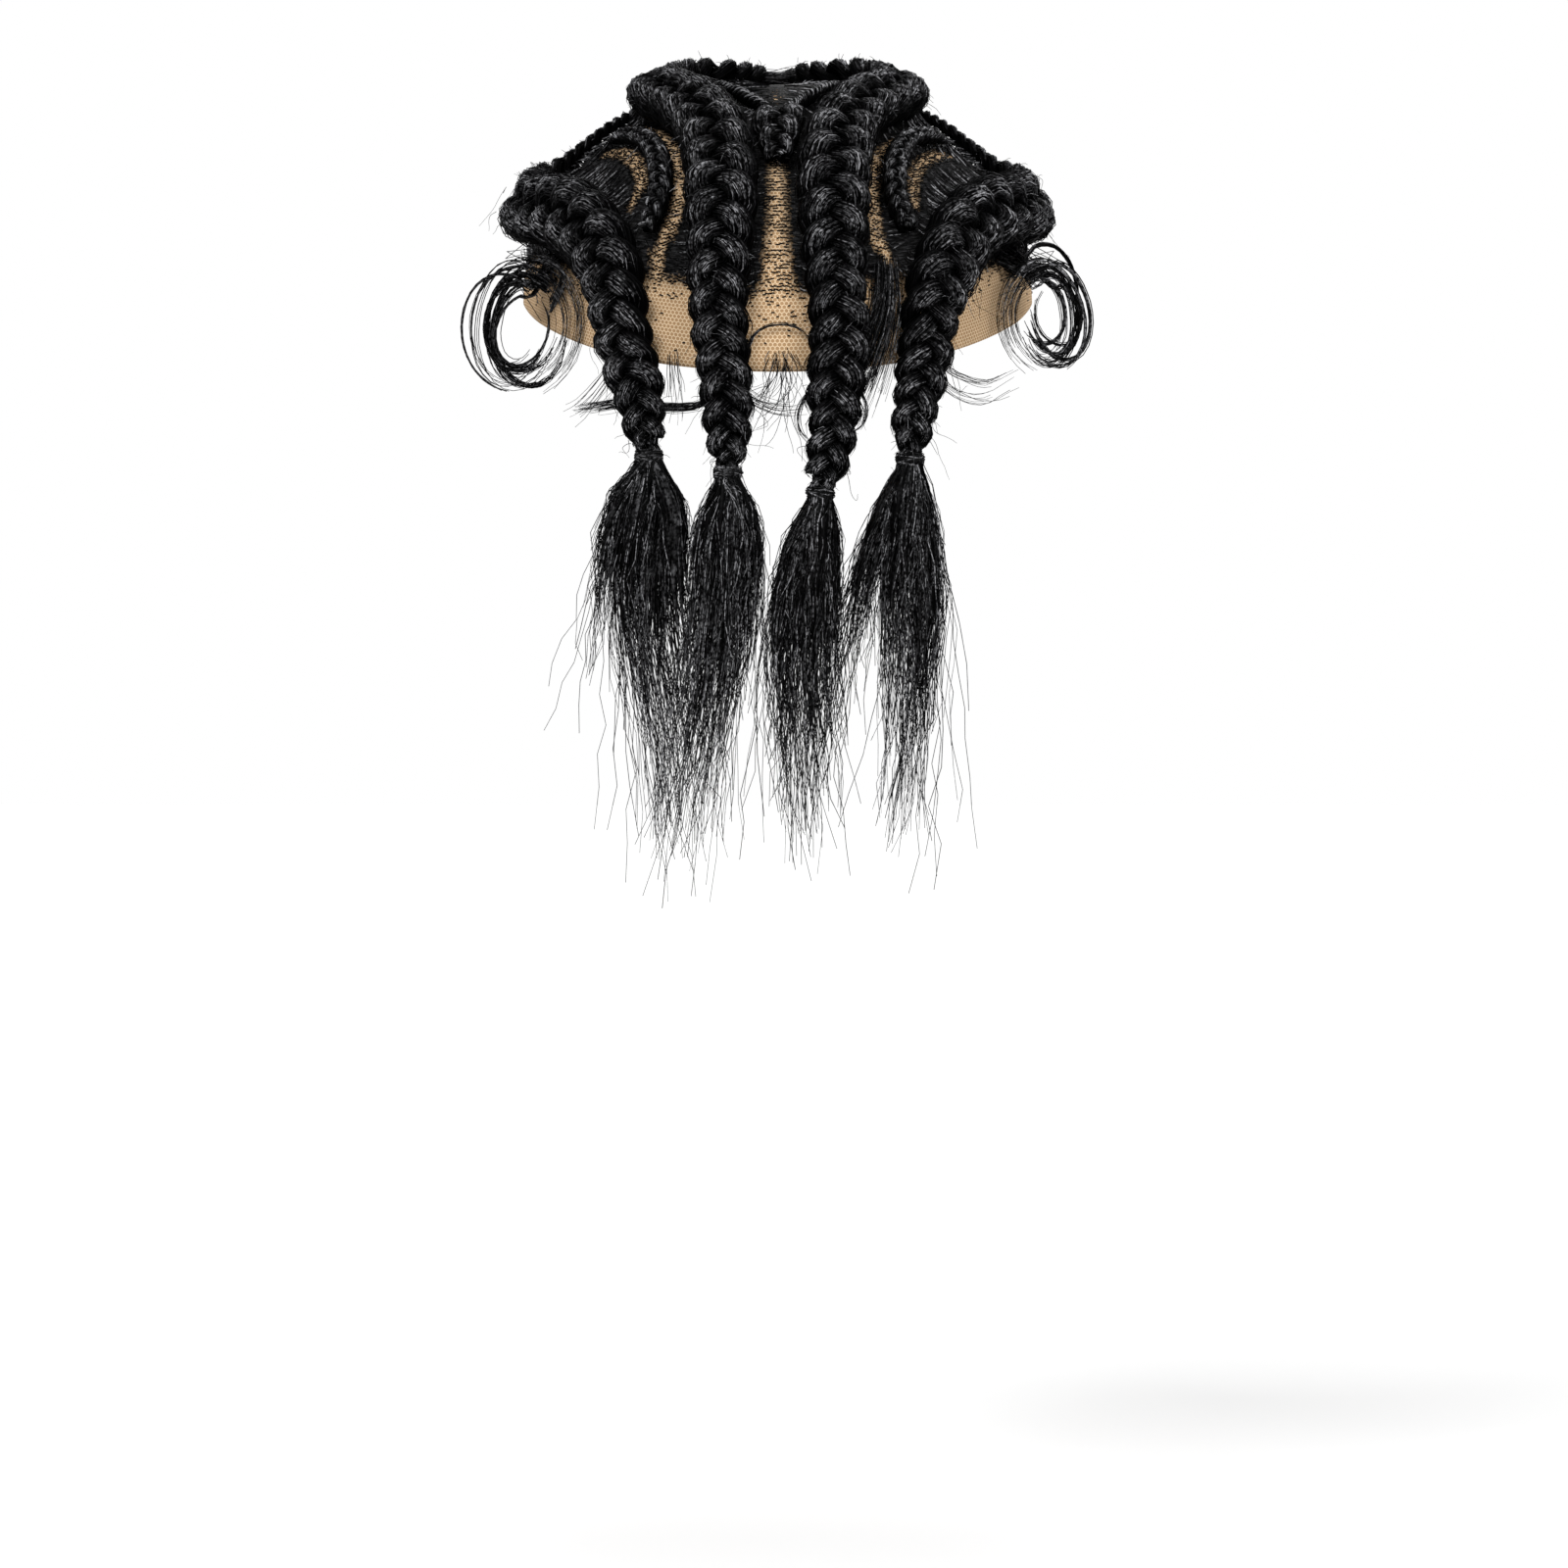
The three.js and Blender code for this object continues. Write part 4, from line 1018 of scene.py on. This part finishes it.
def tail_bundles(rng, neck, locks):
    bundles = []
    breadths = np.array([lock[-1] for lock in locks], float)
    for lock, part in zip(locks, breadths / breadths.sum()):
        for kind, (number, places, *spread) in TAIL_HAIRS.items():
            count = round(number * part)
            share = np.linspace(0, 1, places)
            lines = tail_lines(rng, neck, lock, count, places, *spread)
            tone = broken_painted_sheen(rng, count, places)
            if kind == "dense":
                swell = np.interp(share, *DENSE.swell)
                bundles.append((lines, swell, tone * DENSE.tone, share * DENSE.crimp))
            else:
                thickness = (1 - LOOSE.thin * share) * rng.uniform(*LOOSE.thickness, (count, 1))
                bundles.append((lines, thickness, tone * LOOSE.tone, np.interp(share, *LOOSE.crimp)))
    return bundles


def neck_wraps(rng, neck):
    """Hairs that wind around the neck over the thread."""
    count, places = NECK_WRAPS.number, NECK_WRAPS.places
    share = np.linspace(0, 1, places)
    turn = rng.uniform(0, 2 * np.pi, (count, 1)) + rng.uniform(*NECK_WRAPS.turn, (count, 1)) * share
    start, stop = rng.uniform(-NECK_WRAPS.reach, NECK_WRAPS.reach, (2, count, 1)) * TIE.height
    height = start + (stop - start) * share
    out = (TIE.clearance + TIE.thread * rng.uniform(*NECK_WRAPS.out, (count, 1))
           - NECK_WRAPS.hollow * height ** 2)
    lines = around_neck(neck, turn, out, height)
    thickness = np.interp(share, *NECK_WRAPS.thickness)
    return [(lines, thickness, broken_painted_sheen(rng, count, places), NECK_WRAPS.crimp)]


for seed, (place, (_, hanging)) in enumerate(FALLS.items(), 71):
    rng = np.random.default_rng(seed)
    bundles = tail_bundles(rng, hanging[-1], TAILS[place]) + neck_wraps(rng, hanging[-1])
    fibre_piece("tail_hair_" + place, bundles, seed, "tail_" + place, **TAIL_HAIR)


# Edge curls: fine short hairs at the two sides of the hem, dressed into open rings. They leave a small root
# at the edge of the lace and wind around in a few thin locks with loose hairs between them.

# Curls: centre of the ring and its radius in mm, and the root in degrees across and along the head
CURLS = {
    "left": ((-78.7, -56, -79.3), 15, (-66, -39)),
    "right": ((84.5, -52, -76.6), 12.5, (66, -37)),
}
CURL_FACING = 0.53
# Locks: start and end angle, share of the ring's radius, shift out of its plane, hairs and their spread in mm
CURL_LOCKS = [
    (55, 350, 1.0, 0, 17, 0.34), (62, 305, 0.76, -2.4, 13, 0.3), (50, 262, 1.12, 2, 12, 0.3),
    (58, 340, 0.88, 1.4, 12, 0.32), (45, 285, 1.07, -1.4, 12, 0.34), (66, 395, 0.68, 0.5, 9, 0.25),
    (40, 230, 1.16, 0.8, 7, 0.24), (55, 320, 0.9, 0, 18, 2.2)]
CURL_LOCK = Sizes(
    turns=12, places=24, thickness=(1.0, 0.5), uneven=(1.0, 1.5), stretch=(0.95, 1.15), crimp=0.6)
CURL_WANDER = Sizes(centre=1.8, root=3.5, hair_root=0.9, swing=6.28, start=3, end=(-40, 15), waver=0.1)
CURL_FAN = Sizes(
    hairs=28, begin=(60, 110), end=(-75, -20), share=(0.9, 1.6), shift=1.0, turns=8, places=14,
    root_spread=5.5, thickness=(0.75, 0.4), crimp=0.8)
CURL_LIFT = np.array(1.2)
CURL_SHEEN = 0.5
CURL_HAIR = dict(radius=0.2, crimp_height=0.5, crimp_length=5.0)


def curl_fibres(rng, side, centre, radius, root):
    centre, root = np.array(centre, float), np.array(root)
    inward = np.array([-side * math.sqrt(1 - CURL_FACING ** 2), -CURL_FACING, 0.0])
    up = np.array([0.0, 0.0, 1.0])
    facing = np.cross(inward, up)
    bundles = []

    def hair(turn, reach, middle, shift, start, places, stretch=(1, 1)):
        ring = (np.outer(reach * np.cos(turn), inward * stretch[0])
                + np.outer(reach * np.sin(turn), up * stretch[1]))
        ring = middle + ring + facing * shift
        return smooth_rows(np.vstack([head_point(*start, CURL_LIFT), ring]), places)

    for begin, end, share, shift, count, spread in CURL_LOCKS:
        lines = []
        middle = centre + rng.normal(0, CURL_WANDER.centre, 3)
        lock_root = root + rng.normal(0, CURL_WANDER.root, 2)
        swing = rng.uniform(0, CURL_WANDER.swing)
        for _ in range(count):
            wider, aside = rng.normal(0, spread, 2)
            start = begin + rng.normal(0, CURL_WANDER.start)
            stop = end + rng.uniform(*CURL_WANDER.end)
            turn = np.radians(np.linspace(start, stop, CURL_LOCK.turns))
            reach = radius * share * (1 + CURL_WANDER.waver * np.sin(2 * turn + swing)) + wider
            hair_root = lock_root + rng.normal(0, CURL_WANDER.hair_root, 2)
            lines.append(hair(
                turn, reach, middle, shift + aside, hair_root, CURL_LOCK.places, CURL_LOCK.stretch))
        thickness = np.linspace(*CURL_LOCK.thickness, CURL_LOCK.places)
        thickness = thickness * rng.uniform(*CURL_LOCK.uneven, (count, 1))
        bundles.append((np.array(lines), thickness, painted_sheen_of_hairs(rng, count) * CURL_SHEEN, CURL_LOCK.crimp))
    lines = []
    for _ in range(CURL_FAN.hairs):
        start, stop = rng.uniform(*CURL_FAN.begin), rng.uniform(*CURL_FAN.end)
        turn = np.radians(np.linspace(start, stop, CURL_FAN.turns))
        reach = radius * rng.uniform(*CURL_FAN.share)
        shift = rng.normal(0, CURL_FAN.shift)
        hair_root = root + rng.normal(0, CURL_FAN.root_spread, 2)
        lines.append(hair(turn, reach, centre, shift, hair_root, CURL_FAN.places))
    thickness = np.linspace(*CURL_FAN.thickness, CURL_FAN.places)
    bundles.append((np.array(lines), thickness, painted_sheen_of_hairs(rng, len(lines)) * CURL_SHEEN, CURL_FAN.crimp))
    return bundles


for seed, (word, curl) in enumerate(CURLS.items(), 81):
    bundles = curl_fibres(np.random.default_rng(seed), SIDES[word], *curl)
    fibre_piece("edge_curl_hair_" + word, bundles, seed, "edge_curl_" + word, **CURL_HAIR)


# Nape wisps and flyaways: fine short hairs that grow at the hem and lie in loose arcs below it, hair that
# crosses between the inner rows at the crown, and single hairs that have worked out of the plaits.

# Wisps: hairs, spread in mm, and places in mm from the root to the tip
WISPS = [
    (60, 0.8, [
        (-15, -97, -94), (-21, -98.5, -105.5), (-32, -95, -107.5), (-45, -89, -105.5), (-55, -83, -106.5),
        (-63, -78, -107)]),
    (12, 1.6, [(-47, -79, -88), (-53, -76, -98), (-60, -72, -106), (-66, -66, -109)]),
    (10, 1.0, [(47, -80, -91), (55, -78, -96), (64, -72, -98), (74, -64, -93)]),
    (8, 1.0, [(46, -80, -93), (54, -79, -101), (64, -73, -103), (75, -64, -97)]),
    (14, 1.4, [(33, -88.5, -80), (32, -93, -88), (29, -97, -96), (25.5, -99, -103)]),
    (16, 0.3, [
        (11, -98.5, -101), (7.5, -100, -106), (6.2, -100.5, -111), (7.4, -100.5, -115.5),
        (11, -100.5, -119)]),
    (14, 0.3, [
        (22, -97, -97), (25.7, -99.5, -104), (26.9, -100.5, -108.5), (25.5, -100.5, -113),
        (21.5, -100.5, -116)]),
    (14, 0.22, [
        (-9.5, -97.2, -91), (-6.5, -99, -85), (0.5, -99.6, -82.5), (7.5, -99, -84.5), (11.5, -97.4, -90)]),
    (12, 3.5, [(0, -97.3, -93), (-2, -99, -101), (-6, -98, -107), (-13, -95, -110)]),
    (10, 3.5, [(3, -97.3, -93), (5, -99, -100), (2, -99, -107), (-4, -97, -113)]),
    (14, 6.0, [(1, -97.5, -96.5), (1, -98.5, -102), (3, -99, -108), (2, -99, -114)]),
    (110, 0.9, [(-9, 10, 5.4), (-4, 11, 6), (0, 11, 5.6), (4, 11, 6), (9, 10, 5.4)]),
    (100, 1.3, [(-9, 12, 3), (-4, 13, 3.6), (0, 13, 3.4), (4, 13, 3.6), (9, 12, 3)]),
    (16, 1.2, [(-11, -97, -93), (-9.5, -99, -103), (0, -100, -108), (10, -100, -107)]),
    (170, 2.9, [(33, -86, -64), (33, -91, -76), (30.5, -94.5, -87), (26.5, -98, -98), (22.5, -100, -106)]),
    (12, 2.0, [(-31, -93, -91.5), (-30.5, -95, -97), (-29.5, -96, -103), (-30, -96.5, -109)]),
]
WISP = Sizes(
    places=11, steps=120, reach=(0.7, 1.0), fan=(0.6, 1.4), flatness=[1, 0.4, 1], clearance=0.5, sheen=0.5,
    thin=0.5, uneven=(0.7, 1.1), crimp=0.8)
WISP_HAIR = dict(radius=0.15, crimp_height=0.8, crimp_length=6.0)
NAPE = Sizes(across=(-60, 61), along=(-91, -29))
FLYAWAYS = Sizes(
    number=26, length=20.0, places=12, first=0.35, last=40, seat=0.85, out=0.35,
    fall=0.55, fall_power=1.4, bow=0.28, bow_turn=1.3, shortest=0.3, thin=0.5, sheen=0.5)
FLYAWAY_HAIR = dict(radius=0.11, crimp_height=1.6, crimp_length=7.0)


def off_the_cap(lines, clearance, near=2):
    """Lines at the back moved out where they would run inside the cap's wall."""
    across, along = (side.ravel() for side in np.meshgrid(np.arange(*NAPE.across), np.arange(*NAPE.along)))
    cap = head_point(across, along, np.full(across.shape, CAP_WALL))
    flat = lines.reshape(-1, 3)
    chosen, distance = nearest_of(flat[:, [0, 2]], cap[:, [0, 2]])
    over_cap = (distance < near) & (flat[:, 1] < 0)
    flat[over_cap, 1] = np.minimum(flat[over_cap, 1], cap[chosen[over_cap], 1] - clearance)
    return flat.reshape(lines.shape)


def wisp_bundles(rng):
    bundles = []
    share = np.linspace(0, 1, WISP.places)
    for count, spread, places in WISPS:
        lines = []
        for _ in range(count):
            shift = rng.normal(0, spread, (1, 3)) * np.linspace(*WISP.fan, len(places))[:, None]
            reach = rng.uniform(*WISP.reach)
            line = smooth_rows(np.array(places, float) + shift * WISP.flatness, WISP.steps)
            lines.append(line[np.round(share * reach * (WISP.steps - 1)).astype(int)])
        thickness = (1 - WISP.thin * share) * rng.uniform(*WISP.uneven, (count, 1))
        lines = off_the_cap(np.array(lines), WISP.clearance)
        bundles.append((lines, thickness, painted_sheen_of_hairs(rng, count) * WISP.sheen, WISP.crimp))
    return bundles


def flyaway_bundles(rng):
    bundles = []
    count, share = FLYAWAYS.number, np.linspace(0, 1, FLYAWAYS.places)
    fall, bend = share ** FLYAWAYS.fall_power, np.sin(np.pi * share * FLYAWAYS.bow_turn)
    for place in FALLS:
        columns = ROUTES["cornrow_" + place][1].columns
        rows = rng.integers(int(ROUTE_PLACES * FLYAWAYS.first), ROUTE_PLACES - FLYAWAYS.last, count)
        at = by_column(columns[rows])
        turn = rng.uniform(0, np.pi, count)[:, None]
        sine, cosine = np.sin(turn), np.cos(turn)
        aside = at.side * cosine + at.out * sine
        half = (np.abs(cosine) * at.width[:, None] + np.abs(sine) * at.height[:, None]) / 2
        root = at.centre + aside * half * FLYAWAYS.seat
        length = FLYAWAYS.length * rng.uniform(FLYAWAYS.shortest, 1.0, (count, 1, 1))
        bow = unit(rng.normal(0, 1, (count, 3)))
        line = (root[:, None] + aside[:, None] * length * FLYAWAYS.out * share[:, None]
                + np.array([0, 0, -1.0]) * length * FLYAWAYS.fall * fall[:, None]
                + bow[:, None] * length * FLYAWAYS.bow * bend[:, None])
        bundles.append((line, 1 - FLYAWAYS.thin * share, painted_sheen_of_hairs(rng, count) * FLYAWAYS.sheen, 1.0))
    return bundles


rng = np.random.default_rng(91)
fibre_piece("nape_wisps", wisp_bundles(rng), 91, **WISP_HAIR)
fibre_piece("flyaway_hairs", flyaway_bundles(rng), 92, **FLYAWAY_HAIR)


# Floor, light and camera: a plain pale studio with a wide floor well below the piece, large soft lamps, and
# the camera level behind the piece.

FLOOR_HEIGHT, FLOOR_HALF = -0.455, 60
FLOOR_TONES = ((0.84, 0.84, 0.84, 1), (0.87, 0.87, 0.87, 1))
floor_mesh = bpy.data.meshes.new("studio_floor")
floor_mesh.from_pydata(
    [(x * FLOOR_HALF, y * FLOOR_HALF, FLOOR_HEIGHT) for x, y in ((-1, -1), (1, -1), (1, 1), (-1, 1))], [],
    [(0, 1, 2, 3)])
floor = bpy.data.objects.new("studio_floor", floor_mesh)
bpy.context.scene.collection.objects.link(floor)
pale, nodes, shader = new_material("pale_floor")
mottle = nodes.noise(nodes.place(), scale=3.0, detail=2.0)
nodes.give(shader, {"Base Color": nodes.mix(mottle, *FLOOR_TONES), "Roughness": 0.9})
floor_mesh.materials.append(pale)

BACKGROUND_WHITE = 1.0
ROOM_LIGHT = 0.1
world = bpy.data.worlds.new("studio")
bpy.context.scene.world = world
world.use_nodes = True
sky = Nodes(world.node_tree)
seen = sky.add("ShaderNodeLightPath").outputs["Is Camera Ray"]
sky.give(world.node_tree.nodes["Background"], {
    "Color": (1, 1, 1, 1), "Strength": sky.remap(seen, low=ROOM_LIGHT, high=BACKGROUND_WHITE)})

# Large distant lamps: where each stands from the piece, how wide it looks in degrees, and its strength
LAMPS = [
    ("left", (-0.5, -1.0, 0.9), 28, 2.4), ("right", (0.7, -1.0, 0.6), 30, 1.6),
    ("top", (0.0, 0.1, 1.0), 40, 1.0), ("front", (0.2, 1.0, 0.7), 30, 1.0)]
for name, place, breadth, strength in LAMPS:
    lamp = bpy.data.lights.new("lamp_" + name, "SUN")
    lamp.angle = math.radians(breadth)
    lamp.energy = strength
    lamp_object = bpy.data.objects.new("lamp_" + name, lamp)
    bpy.context.scene.collection.objects.link(lamp_object)
    lamp_object.rotation_mode = "QUATERNION"
    lamp_object.rotation_quaternion = Vector(place).to_track_quat("Z", "Y")

CAMERA_PLACE = (0.002, -1.8, -0.221)
FRAME_WIDTH = 0.5
SENSOR_WIDTH = 36.0
camera_data = bpy.data.cameras.new("camera")
camera_data.sensor_width = SENSOR_WIDTH
camera_data.lens = SENSOR_WIDTH * -CAMERA_PLACE[1] / FRAME_WIDTH
camera = bpy.data.objects.new("camera", camera_data)
camera.location = CAMERA_PLACE
camera.rotation_euler = (math.pi / 2, 0, 0)
bpy.context.scene.collection.objects.link(camera)
bpy.context.scene.camera = camera
bpy.context.scene.view_settings.view_transform = "Standard"
